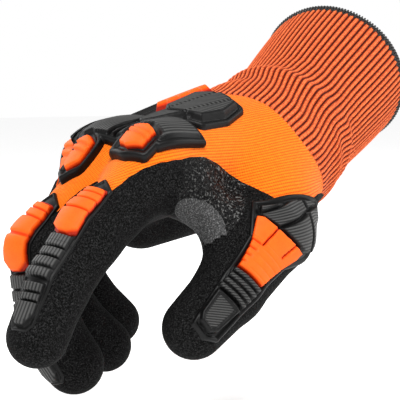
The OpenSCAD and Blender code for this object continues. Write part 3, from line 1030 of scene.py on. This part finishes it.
# %% The thumb guard
grid = digit_grid("thumb", 26, 113, -40, 22, 0.36)
_, _, s, v = grid
flange = [
    (47, -17), (29, 9), (31, 19), (50, 19), (62, 10.8), (75, 8.6), (86, 8.6), (106, 9.2),
    (110.5, 4), (109.5, -4.5), (84, -8.6), (63, -10),
]
black = framed(inside_of(s, v, flange), FLANGE, 0.6, 1.3, 1.3, 2.3)
# the slanted plates nearest the wrist, parted by two slanted grooves and one across them
plate = inside_of(
    s, v, [(48.5, -13), (33.5, 7.5), (34.5, 16), (48, 16), (51, 11), (52, 4.5), (52.5, -3.5), (53, -10.5)]
)
lean = (s - 49) * 0.55 + v * 0.83
for groove in (-7.5, -0.5):
    plate = np.minimum(plate, np.abs(lean - groove) - 0.15)
plate = np.minimum(plate, np.abs((s - 44) * 0.8 - (v - 8) * 0.6) - 0.2)
black = np.maximum(black, block(plate, 3.3, 0.6, 1.5))
# the plate tops are marked for a painted highlight
painted_highlight_mask = sharp_step(plate, 0.4, 0.5)
# four bars before the end pad
BAR_TOP = 3.9
for start in (78.6, 81.4, 84.2, 87.0):
    bar = [(start - 0.2, 5.8), (start + 2.0, 5.7), (start + 2.6, -6.2), (start + 0.4, -6.4)]
    d = inside_of(s, v, bar)
    black = np.maximum(black, block(d + 0.7, BAR_TOP, 1.2, 0.8))
    painted_highlight_mask = np.maximum(painted_highlight_mask, sharp_step(d, 0, 0.5))
# the end pad has a raised frame round a sunken panel
pad = inside_of(s, v, [(90.6, 5.4), (104, 4.6), (107, 2.6), (106.2, -2.6), (103, -4.2), (90.8, -5.6)])
black = np.maximum(black, block(pad + 0.8, BAR_TOP, 1.2, 0.8) - 0.9 * sharp_step(pad, 1.2, 0.4))
painted_highlight_mask = np.maximum(painted_highlight_mask, sharp_step(pad, 1.4, 0.5))
# the orange fan: two slits lengthwise near the wrist, and notches along its lower edge
fan = inside_of(
    s, v,
    [(54.5, -11), (53, -9), (53.3, 0), (51.8, 10.4), (56, 10.2), (64.4, 7.6), (74.6, 5.6), (77.6, 5.0),
     (77.8, -5.8), (66, -7.4)],
)
slit = np.minimum(
    np.abs(v + 3.0 + (s - 54) * 0.06) + np.clip((s - 64) * 0.6, 0, 9),
    np.abs(v - 5.6 + (s - 54) * 0.16) + np.clip((s - 62) * 0.6, 0, 9),
)
orange = block(fan + 0.6, 4.3, 1.0, 0.6)
orange = np.minimum(orange, np.where(s < 66, 2.2 + 2.6 * sharp_step(slit, 0.15, 0.4), 9))
for k, notch in enumerate((64.5, 68, 71.5, 75)):
    depth = np.clip((-v - 3.4 - 0.3 * k) / 1.2, 0, 1) * np.clip(1 - np.abs(s - notch) / 0.7, 0, 1)
    orange = orange - 1.6 * depth * (orange > 0)
fine_grooves = 0.35 * np.clip(1 - np.abs(((s - 64) % 3.5) - 1.7) / 0.5, 0, 1) * (s > 63) * (s < 77)
orange = np.where(orange > 3, orange - fine_grooves, orange)
rubber_orange += cut_guard("pads", "thumb", grid, orange, np.clip(orange, 0, 9), [["thumb_mid_pads"]])
thumb_nodes = [["thumb_mid_guard"], ["thumb_tip_guard"]]
rubber_black += cut_guard("guard", "thumb", grid, black, painted_highlight_mask, thumb_nodes)
print("with the thumb's:", len(rubber_black), "black and", len(rubber_orange), "orange pieces")

# %% [markdown]
# ## The guards on the back of the hand
# These lie on a surface that curves round the hand's length, so their grid is made of rays from a line under
# the palm: one row for each step along the hand, and one column for each step round it.

# %% A grid over the back of the hand
STEP = 0.4
# where the rays start, outside the hand
RAY_START = 90
s, v = np.meshgrid(np.arange(24, 132, STEP), np.arange(-64, 56, STEP), indexing="ij")
angle = v / ROUND_RADIUS
ray = np.cos(angle)[..., None] * OUT_OF_BACK + np.sin(angle)[..., None] * TO_THUMB
under_palm = wrist + s[..., None] * TO_TIPS - PALM_LINE * OUT_OF_BACK
start = under_palm + RAY_START * ray
reach = RAY_START - reach_skin(start.reshape(-1, 3), -ray.reshape(-1, 3), RAY_START).reshape(s.shape)
back_reach = soften(filled(reach), 6)
back_base = under_palm + back_reach[..., None] * ray
back_ways = np.cross(np.gradient(back_base, axis=0), np.gradient(back_base, axis=1))
back_ways *= np.sign((back_ways * ray).sum(-1))[..., None]
back_ways /= np.linalg.norm(back_ways, axis=-1)[..., None]
for k in range(3):
    back_ways[..., k] = soften(back_ways[..., k], 14)
back_ways /= np.linalg.norm(back_ways, axis=-1)[..., None]
# how far round the hand each knuckle lies, where the skin over it is this far above the joint
KNUCKLE_SKIN = 13.5
knuckles = {f: to_hand(CHAINS[f][0][None])[0] for f in FINGERS}
KNUCKLE_ROUND = {
    f: ROUND_RADIUS * math.atan2(at[1], at[2] + KNUCKLE_SKIN + PALM_LINE) for f, at in knuckles.items()
}
print("the knuckles lie round the hand at", {f: round(a, 1) for f, a in KNUCKLE_ROUND.items()})


def rolling(values, half, best):
    """The greatest or least value of each row within half a window to each side."""
    padded = np.pad(values, ((0, 0), (half, half)), mode="edge")
    windows = np.lib.stride_tricks.sliding_window_view(padded, 2 * half + 1, axis=1)
    return best(windows, axis=-1)


# the bridge is stiff: it spans the valleys between the knuckles, which the skin dips into
SPAN = 34
bridge_lift = rolling(rolling(back_reach, SPAN, np.max), SPAN, np.min) - back_reach
bridge_lift = soften(bridge_lift, 60) * 0.85


def hand_guard(name, height, painted_light, node):
    """A guard on the back of the hand, which moves with the hand."""
    outside, inside, quads = laid_guard(back_base, back_ways, height)
    obj, used = shell(name, outside, inside, quads)
    mark(obj, "lay", np.stack([s, v, painted_light], -1).reshape(-1, 3)[used], "FLOAT_VECTOR")
    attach(obj, "hand")
    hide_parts(node)
    return obj


# %% The knuckle guard
# each pad's outline ahead of its knuckle: along, across
PAD_OUTLINE = {
    "index": [(3.2, 6.4), (2.2, 1.8), (4.6, -3.8), (13.2, -3.0), (14.2, 1.2), (10.6, 6.2)],
    "middle": [(11.0, 6.0), (9.6, 0.8), (12.0, -6.0), (22.0, -4.8), (23.5, 0.0), (19.0, 6.2)],
    "ring": [(10.0, 6.0), (8.5, 0), (10.0, -6.0), (21, -5.4), (24, 0), (21, 5.4)],
    "little": [(7.0, 5.2), (5.5, 0), (7.0, -5.2), (16, -4.6), (18.5, 0), (16, 4.6)],
}
# how much each pad slants toward the thumb
LEAN = {"index": 0.5, "middle": 0.5, "ring": 0.1, "little": -0.3}
# where the bridge starts, along the hand, and how far past each knuckle it ends
REAR = {"index": 76, "middle": 84, "ring": 82, "little": 68}
FRONT = {"index": 6, "middle": 9, "ring": 9, "little": 9}
PAD_TOP, LOBE_WIDTH, PLATE_TOP = 4.6, 3.8, 4.4
orange = np.full_like(s, BELOW)
near_pad = np.full_like(s, -99.0)
for f in FINGERS:
    along = s - knuckles[f][0]
    across = (v - KNUCKLE_ROUND[f]) - LEAN[f] * np.maximum(along - 4, 0)
    pad = inside_of(along, across, PAD_OUTLINE[f])
    near_pad = np.maximum(near_pad, pad)
    steps = sum(
        1.1 * np.clip(1.2 - np.abs(along - PAD_OUTLINE[f][0][0] - at) / 0.5, 0, 1) for at in (2.2, 4.6)
    )
    orange = np.maximum(orange, block(pad + 0.2, PAD_TOP, 1.0, 0.6) - steps * (pad > 0))
# the bridge behind the pads, from its rear edge to its front edge, and its grooves
ORDER = FINGERS[::-1]
round_knots = [-64] + [KNUCKLE_ROUND[f] for f in ORDER] + [56]
rear = np.interp(v, round_knots, [62] + [REAR[f] for f in ORDER] + [74])
front = np.interp(v, round_knots, [70] + [knuckles[f][0] + FRONT[f] for f in ORDER] + [92])
edge = np.minimum(KNUCKLE_ROUND["index"] + 9.5 - v, v - (KNUCKLE_ROUND["little"] - 9))
bridge = np.minimum(np.minimum(s - rear, front + 1.5 - s), edge)
black = framed(np.maximum(near_pad + LOBE_WIDTH, bridge + 2.2), 1.8, 0.9, 1.6, 1.6, 3.6)
plates = np.minimum(bridge, -near_pad - 1.0)
for one, other in zip(FINGERS, FINGERS[1:]):
    between = v - (KNUCKLE_ROUND[one] + KNUCKLE_ROUND[other]) / 2
    for offset in (-1.6, 1.6):
        plates = np.minimum(plates, np.abs(between - offset - 0.12 * (s - 92)) - 0.35)
lift = np.clip(bridge_lift, 0, 9)
black = np.maximum(black, block(plates + 0.2, PLATE_TOP + lift * smooth((bridge + 3) / 5), 1.2, 1.6))
black = np.maximum(black, np.where(bridge > 0, 2.0 + lift * smooth(bridge / 5), BELOW))
# the plate tops are marked for a painted highlight
rubber_black.append(hand_guard("knuckle_guard_black", black, sharp_step(plates, 0.9, 0.4), "knuckle_guard"))
rubber_orange.append(hand_guard("knuckle_pads_orange", orange, orange, "knuckle_pads"))
print("the knuckle guard rises", round(float(black.max()), 1), "mm above the skin")

# %% The back guards and the pad between them
BACK_PLATE = [(75, 27), (69, 15.5), (49, 9.5), (42.5, 20), (43, 30.5), (54, 35.5), (67, 36.5)]
TAIL = [(70, 33), (70, 20), (88, 21), (90, 27), (84, 31)]
for name, side, shift in (("back_guard_index_side", 1, 0), ("back_guard_little_side", -1, 3)):
    w = side * v - shift
    main = inside_of(s, w, BACK_PLATE)
    tail = inside_of(s, w, TAIL)
    black = framed(np.maximum(main + 3.4, tail + 1.5), 1.4, 0.8, 1.3, 1.3, 2.6)
    slit = np.abs(s - 71.5 + 0.3 * (side * v - 27)) - 0.3
    top = np.minimum(np.maximum(main, tail - 0.6), slit)
    black = np.maximum(black, block(top + 1.2, 5.2, 2.0, 1.2))
    grooves = np.minimum(np.abs(w - 20 - (s - 55) * 0.1), np.abs(w - 29 - (s - 55) * 0.1))
    black = black - 0.8 * np.clip(2 - grooves / 0.4, 0, 1) * (main > 0.6)
    # the plate tops are marked for a painted highlight
    rubber_black.append(hand_guard(f"{name}_black", black, sharp_step(top, 1.3, 0.5), name))
middle_pad = inside_of(s, v + 1, [(36, 6.5), (60, 6.5), (65, 0), (60, -7.5), (36, -7.5), (32, 0)])
orange = block(middle_pad, 4.6, 2.4, 0.2)
for cut in (40, 46, 52, 58):
    groove = np.clip(1 - np.abs(s - cut - 0.3 * np.abs(v + 1)) / 0.6, 0, 1)
    orange = orange - 0.9 * groove * (middle_pad > 0.4)
rubber_orange.append(hand_guard("back_pad_orange", orange, orange, "back_pad"))
print("rubber pieces:", len(rubber_black), "black,", len(rubber_orange), "orange")

# %% [markdown]
# ## Materials
# Two effects are shared by several finishes, so each is a node group: a knit, made of fine columns of
# stitches, and a grain, made of noise at two sizes. Every finish then has its own values. The knit reads an
# attribute that follows the fabric. The grain reads the piece's own Object coordinates.

# %% The shared groups
def new_group(name, inputs, outputs):
    """An empty shader group with numbers for inputs and outputs."""
    tree = bpy.data.node_groups.new(name, "ShaderNodeTree")
    for label, kind, value in inputs:
        socket = tree.interface.new_socket(label, in_out="INPUT", socket_type=kind)
        if value is not None:
            socket.default_value = value
    for label, kind in outputs:
        tree.interface.new_socket(label, in_out="OUTPUT", socket_type=kind)
    return tree, tree.nodes.new("NodeGroupInput"), tree.nodes.new("NodeGroupOutput")


def math_node(tree, operation, a, b=None):
    """One Math node fed by sockets or numbers."""
    node = tree.nodes.new("ShaderNodeMath")
    node.operation = operation
    for slot_number, value in enumerate((a, b)):
        if value is None:
            continue
        if isinstance(value, (int, float)):
            node.inputs[slot_number].default_value = value
        else:
            tree.links.new(value, node.inputs[slot_number])
    return node.outputs[0]


def noise_node(tree, vector, scale, detail=3.0):
    """Noise read at a vector. Its scale is a number or a socket."""
    node = tree.nodes.new("ShaderNodeTexNoise")
    node.inputs["Detail"].default_value = detail
    if isinstance(scale, (int, float)):
        node.inputs["Scale"].default_value = scale
    else:
        tree.links.new(scale, node.inputs["Scale"])
    tree.links.new(vector, node.inputs["Vector"])
    return node.outputs["Fac"]


def knit_group():
    """Columns of stitches: the height of the loops, and a slow variation of the yarn."""
    tree, start, end = new_group(
        "knit_columns",
        [("Place", "NodeSocketVector", None), ("Columns per mm", "NodeSocketFloat", 0.75),
         ("Courses per mm", "NodeSocketFloat", 1.1)],
        [("Height", "NodeSocketFloat"), ("Yarn", "NodeSocketFloat")],
    )
    parts = tree.nodes.new("ShaderNodeSeparateXYZ")
    tree.links.new(start.outputs["Place"], parts.inputs["Vector"])
    slow = noise_node(tree, start.outputs["Place"], 0.03, 1.0)
    drift = math_node(tree, "MULTIPLY", slow, 2.5)
    across = math_node(tree, "ADD", parts.outputs["Y"], drift)
    column = math_node(tree, "MULTIPLY", across, start.outputs["Columns per mm"])
    column = math_node(tree, "SINE", math_node(tree, "MULTIPLY", column, 2 * math.pi))
    column = math_node(tree, "ABSOLUTE", column)
    course = math_node(tree, "MULTIPLY", parts.outputs["X"], start.outputs["Courses per mm"])
    course = math_node(tree, "SINE", math_node(tree, "MULTIPLY", course, 2 * math.pi))
    loops = math_node(tree, "MULTIPLY", math_node(tree, "ADD", course, 1.0), 0.14)
    height = math_node(tree, "ADD", math_node(tree, "MULTIPLY", column, 0.75), loops)
    tree.links.new(height, end.inputs["Height"])
    yarn = noise_node(tree, start.outputs["Place"], 0.55, 4.0)
    tree.links.new(yarn, end.inputs["Yarn"])
    return tree


def grain_group():
    """A rough surface: coarse lumps and fine grit."""
    tree, start, end = new_group(
        "grain",
        [("Place", "NodeSocketVector", None), ("Coarse", "NodeSocketFloat", 300.0),
         ("Fine", "NodeSocketFloat", 1500.0)],
        [("Height", "NodeSocketFloat")],
    )
    sizes = [noise_node(tree, start.outputs["Place"], start.outputs[size], 2.0) for size in ("Coarse", "Fine")]
    coarse, fine = [math_node(tree, "MULTIPLY", noise, 0.5) for noise in sizes]
    tree.links.new(math_node(tree, "ADD", coarse, fine), end.inputs["Height"])
    return tree


KNIT_GROUP, GRAIN_GROUP = knit_group(), grain_group()
print("shared groups:", KNIT_GROUP.name, "and", GRAIN_GROUP.name)


# %% Helpers for a finish
class Finish:
    """A material being built: its tree, its shader and short ways to add to it."""

    def __init__(self, name, rough, specular, material=None):
        self.material = material or bpy.data.materials.new(name)
        self.material.use_nodes = True
        self.tree = self.material.node_tree
        self.shader = next(n for n in self.tree.nodes if n.type == "BSDF_PRINCIPLED")
        self.shader.inputs["Roughness"].default_value = rough
        self.shader.inputs["Specular IOR Level"].default_value = specular

    def attribute(self, name):
        node = self.tree.nodes.new("ShaderNodeAttribute")
        node.attribute_name = name
        return node

    def place(self):
        return self.tree.nodes.new("ShaderNodeTexCoord").outputs["Object"]

    def group(self, group, place, **values):
        node = self.tree.nodes.new("ShaderNodeGroup")
        node.node_tree = group
        self.tree.links.new(place, node.inputs["Place"])
        for label, value in values.items():
            node.inputs[label.replace("_", " ")].default_value = value
        return node

    def ramp(self, value, stops):
        node = self.tree.nodes.new("ShaderNodeValToRGB")
        ramp = node.color_ramp
        while len(ramp.elements) < len(stops):
            ramp.elements.new(0.5)
        for element, (at, colour) in zip(ramp.elements, stops):
            element.position = at
            element.color = (*colour, 1)
        self.tree.links.new(value, node.inputs["Fac"])
        return node.outputs["Color"]

    def mix(self, share, a, b, blend="MIX"):
        node = self.tree.nodes.new("ShaderNodeMix")
        node.data_type = "RGBA"
        node.blend_type = blend
        for label, value in ((0, share), (6, a), (7, b)):
            if isinstance(value, tuple):
                node.inputs[label].default_value = (*value, 1)
            elif isinstance(value, (int, float)):
                node.inputs[label].default_value = value
            else:
                self.tree.links.new(value, node.inputs[label])
        return node.outputs[2]

    def bump(self, height, distance, strength, after=None):
        node = self.tree.nodes.new("ShaderNodeBump")
        node.inputs["Distance"].default_value = distance
        node.inputs["Strength"].default_value = strength
        self.tree.links.new(height, node.inputs["Height"])
        if after is not None:
            self.tree.links.new(after, node.inputs["Normal"])
        return node.outputs["Normal"]

    def finish(self, colour, normal, rough=None):
        self.tree.links.new(colour, self.shader.inputs["Base Color"])
        self.tree.links.new(normal, self.shader.inputs["Normal"])
        if rough is not None:
            self.tree.links.new(rough, self.shader.inputs["Roughness"])
        return self.material


# %% [markdown]
# The knit is a bright orange yarn, and its columns show as fine lines of painted shade where the stitches sink.
# The rib is the same yarn, with painted shade, dark brown, between the ridges and short flecks of the yarn's
# darker core on them.

# %% Knit finishes
def orange_knit():
    f = Finish("orange_knit", 0.9, 0.12)
    weave = f.attribute("weave").outputs["Vector"]
    knit = f.group(KNIT_GROUP, weave, Columns_per_mm=0.42, Courses_per_mm=1.0)
    # painted shade: the knit is painted darker where its stitches sink
    base = f.ramp(knit.outputs["Height"], [(0.1, (0.62, 0.06, 0.001)), (0.7, (0.96, 0.20, 0.006))])
    tone = f.ramp(knit.outputs["Yarn"], [(0.3, (0.86, 0.80, 0.72)), (0.75, (1.0, 1.0, 1.0))])
    colour = f.mix(1.0, base, tone, "MULTIPLY")
    f.shader.inputs["Sheen Weight"].default_value = 0.08
    f.shader.inputs["Sheen Roughness"].default_value = 0.5
    return f.finish(colour, f.bump(knit.outputs["Height"], 0.0004, 0.6))


def rib_knit():
    f = Finish("rib_knit", 0.9, 0.15)
    ridge = f.attribute("ridge").outputs["Fac"]
    weave = f.attribute("weave").outputs["Vector"]
    knit = f.group(KNIT_GROUP, weave, Columns_per_mm=0.62, Courses_per_mm=0.7)
    # painted shade: the grooves between the ridges are painted nearly black and the sides brown; only the
    # crests keep the bright orange
    groove, side, crest = (0.045, 0.004, 0.002), (0.42, 0.045, 0.006), (0.85, 0.19, 0.055)
    base = f.ramp(ridge, [(0.30, groove), (0.62, side), (0.97, crest)])
    tone = f.ramp(knit.outputs["Height"], [(0.1, (0.75, 0.6, 0.5)), (0.8, (1.0, 1.0, 1.0))])
    colour = f.mix(0.8, base, tone, "MULTIPLY")
    # short lengths of the brown core show between the loops on the ridges
    flecks = noise_node(f.tree, weave, 0.9, 2.0)
    fleck = f.ramp(flecks, [(0.40, (0.62, 0.50, 0.62)), (0.58, (1.0, 1.0, 1.0))])
    colour = f.mix(0.85, colour, fleck, "MULTIPLY")
    return f.finish(colour, f.bump(knit.outputs["Height"], 0.0004, 0.5))


ORANGE_KNIT, RIB_KNIT = orange_knit(), rib_knit()
print("knit finishes:", ORANGE_KNIT.name, RIB_KNIT.name)

# %% [markdown]
# Sandy nitrile is a matt black foam whose pores catch the light as grit. In the hollow beside the thumb it is
# creased and wet-looking, with painted glints as bright flecks. The patch in the fork of the thumb is painted
# greyer, a painted highlight.

# %% Nitrile finishes
def nitrile(name, dark, light, rough, depth):
    """The start of a nitrile finish: its tree, the places it reads, its colour and its bump."""
    f = Finish(name, rough, 0.06)
    place = f.place()
    grain = f.group(GRAIN_GROUP, place, Coarse=1500.0, Fine=3400.0)
    greys = [(0.46, (dark,) * 3), (0.54, (light * 0.3,) * 3), (0.66, (light,) * 3)]
    colour = f.ramp(grain.outputs["Height"], greys)
    return f, place, colour, f.bump(grain.outputs["Height"], depth, 0.8)


def sandy_nitrile():
    f, _, colour, normal = nitrile("sandy_nitrile", 0.0008, 0.030, 0.85, 0.0003)
    return f.finish(colour, normal)


def palm_nitrile():
    f, place, colour, normal = nitrile("palm_nitrile", 0.0008, 0.030, 0.85, 0.0003)
    away = f.tree.nodes.new("ShaderNodeVectorMath")
    away.operation = "DISTANCE"
    f.tree.links.new(place, away.inputs[0])
    away.inputs[1].default_value = tuple(HOLLOW * MM)
    wet = f.ramp(away.outputs["Value"], [(0.012, (1, 1, 1)), (0.032, (0, 0, 0))])
    folds = noise_node(f.tree, place, 340.0, 6.0)
    folded = math_node(f.tree, "MULTIPLY", folds, wet)
    rough = math_node(f.tree, "SUBTRACT", 0.8, math_node(f.tree, "MULTIPLY", wet, 0.6))
    # painted glints: the wet creases are painted with small bright flecks where they would catch the light
    glints = f.ramp(noise_node(f.tree, place, 900.0, 4.0), [(0.56, (0, 0, 0)), (0.66, (1, 1, 1))])
    colour = f.mix(math_node(f.tree, "MULTIPLY", glints, wet), colour, (0.14, 0.14, 0.135))
    return f.finish(colour, f.bump(folded, 0.003, 0.8, normal), rough)


def patch_nitrile():
    # the patch is a real layer of thicker nitrile; its lighter grey is a painted highlight where its crescent
    # catches the light
    f, _, colour, normal = nitrile("patch_nitrile", 0.03, 0.20, 0.6, 0.0002)
    return f.finish(colour, normal)


SANDY, PALM, PATCH_WITH_PAINTED_HIGHLIGHT = sandy_nitrile(), palm_nitrile(), patch_nitrile()
print("nitrile finishes:", SANDY.name, PALM.name, PATCH_WITH_PAINTED_HIGHLIGHT.name)

# %% [markdown]
# The guards are satin rubber. The tops of the black blocks are moulded with fine ribs, and are painted lighter
# grey as a painted highlight, the ribs most; their sides are smooth and dark. The orange rubber is the same all
# through, with painted shade that makes it darker and redder in its grooves and down its sides.

# %% Rubber finishes
def black_rubber(slant=0.0, pitch=1.15):
    """Black rubber whose block tops have fine ribs, pitch mm apart, that lean by slant."""
    f = Finish("black_rubber", 0.45, 0.18)
    parts = f.tree.nodes.new("ShaderNodeSeparateXYZ")
    f.tree.links.new(f.attribute("lay").outputs["Vector"], parts.inputs["Vector"])
    along, across, top = parts.outputs
    across = math_node(f.tree, "ADD", across, math_node(f.tree, "MULTIPLY", along, slant))
    ribs = math_node(f.tree, "SINE", math_node(f.tree, "MULTIPLY", across, 2 * math.pi / pitch))
    ribs = math_node(f.tree, "MULTIPLY", math_node(f.tree, "ADD", ribs, 1.0), 0.5)
    ribbed = math_node(f.tree, "MULTIPLY", ribs, top)
    grain = f.group(GRAIN_GROUP, f.place(), Coarse=500.0, Fine=1800.0).outputs["Height"]
    # painted highlight: the marked block tops, and the ribs on them most, are painted lighter grey than the
    # dark sides
    mix = ((top, 0.30), (ribbed, 0.55), (grain, 0.12))
    shares = [math_node(f.tree, "MULTIPLY", part, share) for part, share in mix]
    painted_light = math_node(f.tree, "ADD", math_node(f.tree, "ADD", shares[0], shares[1]), shares[2])
    greys = [(0.0, (0.0015,) * 3), (0.35, (0.007,) * 3), (1.0, (0.07, 0.07, 0.068))]
    normal = f.bump(ribbed, 0.0004, 0.6, f.bump(grain, 0.0002, 0.3))
    return f.finish(f.ramp(painted_light, greys), normal)


def orange_rubber():
    f = Finish("orange_rubber", 0.5, 0.15)
    lay = f.attribute("lay").outputs["Vector"]
    parts = f.tree.nodes.new("ShaderNodeSeparateXYZ")
    f.tree.links.new(lay, parts.inputs["Vector"])
    grain = f.group(GRAIN_GROUP, f.place(), Coarse=300.0, Fine=1400.0)
    height = math_node(f.tree, "MULTIPLY", parts.outputs["Z"], 0.2)
    # painted shade: the orange rubber is painted darker and redder the lower it lies, in its grooves, on its
    # bed and down its sides
    groove, side, top = (0.30, 0.010, 0.001), (0.78, 0.05, 0.001), (0.95, 0.12, 0.007)
    base = f.ramp(height, [(0.45, groove), (0.62, side), (0.76, top)])
    tone = f.ramp(grain.outputs["Height"], [(0.35, (0.9, 0.85, 0.8)), (0.65, (1.0, 1.0, 1.0))])
    colour = f.mix(1.0, base, tone, "MULTIPLY")
    return f.finish(colour, f.bump(grain.outputs["Height"], 0.0002, 0.35))


def thread():
    f = Finish("overlock_thread", 0.8, 0.2, threads_black)
    grain = f.group(GRAIN_GROUP, f.place(), Coarse=900.0, Fine=3000.0)
    colour = f.ramp(grain.outputs["Height"], [(0.35, (0.004, 0.004, 0.004)), (0.7, (0.04, 0.04, 0.04))])
    f.shader.inputs["Sheen Weight"].default_value = 0.2
    return f.finish(colour, f.bump(grain.outputs["Height"], 0.0004, 0.7))


BLACK_RUBBER, THUMB_RUBBER, BACK_RUBBER = black_rubber(), black_rubber(0.9, 1.25), black_rubber(0.9, 2.3)
ORANGE_RUBBER = orange_rubber()
THREAD = thread()
print("rubber and thread:", BLACK_RUBBER.name, ORANGE_RUBBER.name, THREAD.name)


# %% Give every piece its finish
def dress(obj, material):
    """Put a material on a piece."""
    obj.data.materials.clear()
    obj.data.materials.append(material)


for piece in PIECES:
    dress(knits[piece], ORANGE_KNIT)
    if piece in ("hand", "thumb_root"):
        dress(coats[piece], PALM)
    else:
        dress(coats[piece], SANDY)
dress(rib_cuff, RIB_KNIT)
dress(rim_roll, THREAD)
dress(crotch_patch, PATCH_WITH_PAINTED_HIGHLIGHT)
for obj in rubber_black:
    material = BLACK_RUBBER
    if obj.name.startswith("thumb"):
        material = THUMB_RUBBER
    elif obj.name.startswith("back_guard"):
        material = BACK_RUBBER
    dress(obj, material)
for obj in rubber_orange:
    dress(obj, ORANGE_RUBBER)

# %% [markdown]
# ## The studio
# A pale floor, a white surround and three large soft lights. The floor glows a little, so that it stays pale
# under a dim surround. The camera has a long lens and looks from the thumb's side, a little above the glove.

# %% Floor, lights and camera
low_corner, high_corner = np.array(cad_box[0]), np.array(cad_box[1])
centre = (low_corner + high_corner) / 2
# the floor lies a little under the glove's lowest point
FLOOR_GAP = 0.012
bpy.ops.mesh.primitive_plane_add(size=8, location=(centre[0], centre[1], low_corner[2] - FLOOR_GAP))
floor = bpy.context.object
floor.name = "floor"
paper = bpy.data.materials.new("pale_paper")
paper.use_nodes = True
paper_shader = next(n for n in paper.node_tree.nodes if n.type == "BSDF_PRINCIPLED")
paper_shader.inputs["Base Color"].default_value = (0.97, 0.97, 0.97, 1)
paper_shader.inputs["Roughness"].default_value = 0.9
paper_shader.inputs["Emission Color"].default_value = (1, 1, 1, 1)
paper_shader.inputs["Emission Strength"].default_value = 0.45
floor.data.materials.append(paper)

bpy.context.scene.view_settings.view_transform = "Standard"
world = bpy.data.worlds.new("white_surround")
bpy.context.scene.world = world
world.use_nodes = True
# the surround shows as pure white, but lights the glove less, so that black stays black
nodes, link = world.node_tree.nodes, world.node_tree.links.new
dim = next(n for n in nodes if n.type == "BACKGROUND")
bright = nodes.new("ShaderNodeBackground")
for light, strength in ((dim, 0.5), (bright, 1.0)):
    light.inputs["Color"].default_value = (1, 1, 1, 1)
    light.inputs["Strength"].default_value = strength
choose = nodes.new("ShaderNodeMixShader")
link(nodes.new("ShaderNodeLightPath").outputs["Is Camera Ray"], choose.inputs["Fac"])
link(dim.outputs[0], choose.inputs[1])
link(bright.outputs[0], choose.inputs[2])
link(choose.outputs[0], next(n for n in nodes if n.type == "OUTPUT_WORLD").inputs["Surface"])


def soft_light(name, offset, size, power):
    """A square area light at an offset from the glove, turned to it."""
    light = bpy.data.lights.new(name, "AREA")
    light.size = size
    light.energy = power
    obj = bpy.data.objects.new(name, light)
    bpy.context.scene.collection.objects.link(obj)
    obj.location = centre + np.array(offset)
    obj.rotation_euler = (-Vector(offset)).to_track_quat("-Z", "Y").to_euler()


soft_light("key_light", (-0.5, -0.6, 1.0), 0.5, 17)
soft_light("side_light", (0.9, -0.5, 0.4), 0.6, 5)
soft_light("back_light", (-0.3, 0.9, 0.6), 0.8, 6)

CAMERA_AZIMUTH, CAMERA_ELEVATION, LENS = -35.3, 5.0, 126
CAMERA_SPOT = Vector((-0.4792, -0.5559, -0.0018))
camera_data = bpy.data.cameras.new("camera")
camera_data.lens = LENS
camera_data.sensor_width = 36
camera_data.clip_start, camera_data.clip_end = 0.01, 50
camera = bpy.data.objects.new("camera", camera_data)
bpy.context.scene.collection.objects.link(camera)
camera.location = CAMERA_SPOT
azimuth, elevation = math.radians(CAMERA_AZIMUTH), math.radians(CAMERA_ELEVATION)
level = math.cos(elevation)
look = Vector((-math.sin(azimuth) * level, math.cos(azimuth) * level, -math.sin(elevation)))
camera.rotation_euler = look.to_track_quat("-Z", "Y").to_euler()
bpy.context.scene.camera = camera
print("the camera looks along", [round(v, 3) for v in look])

# %% Sizes, and the end
print("CAD box", [round(v, 4) for c in cad_box for v in c])
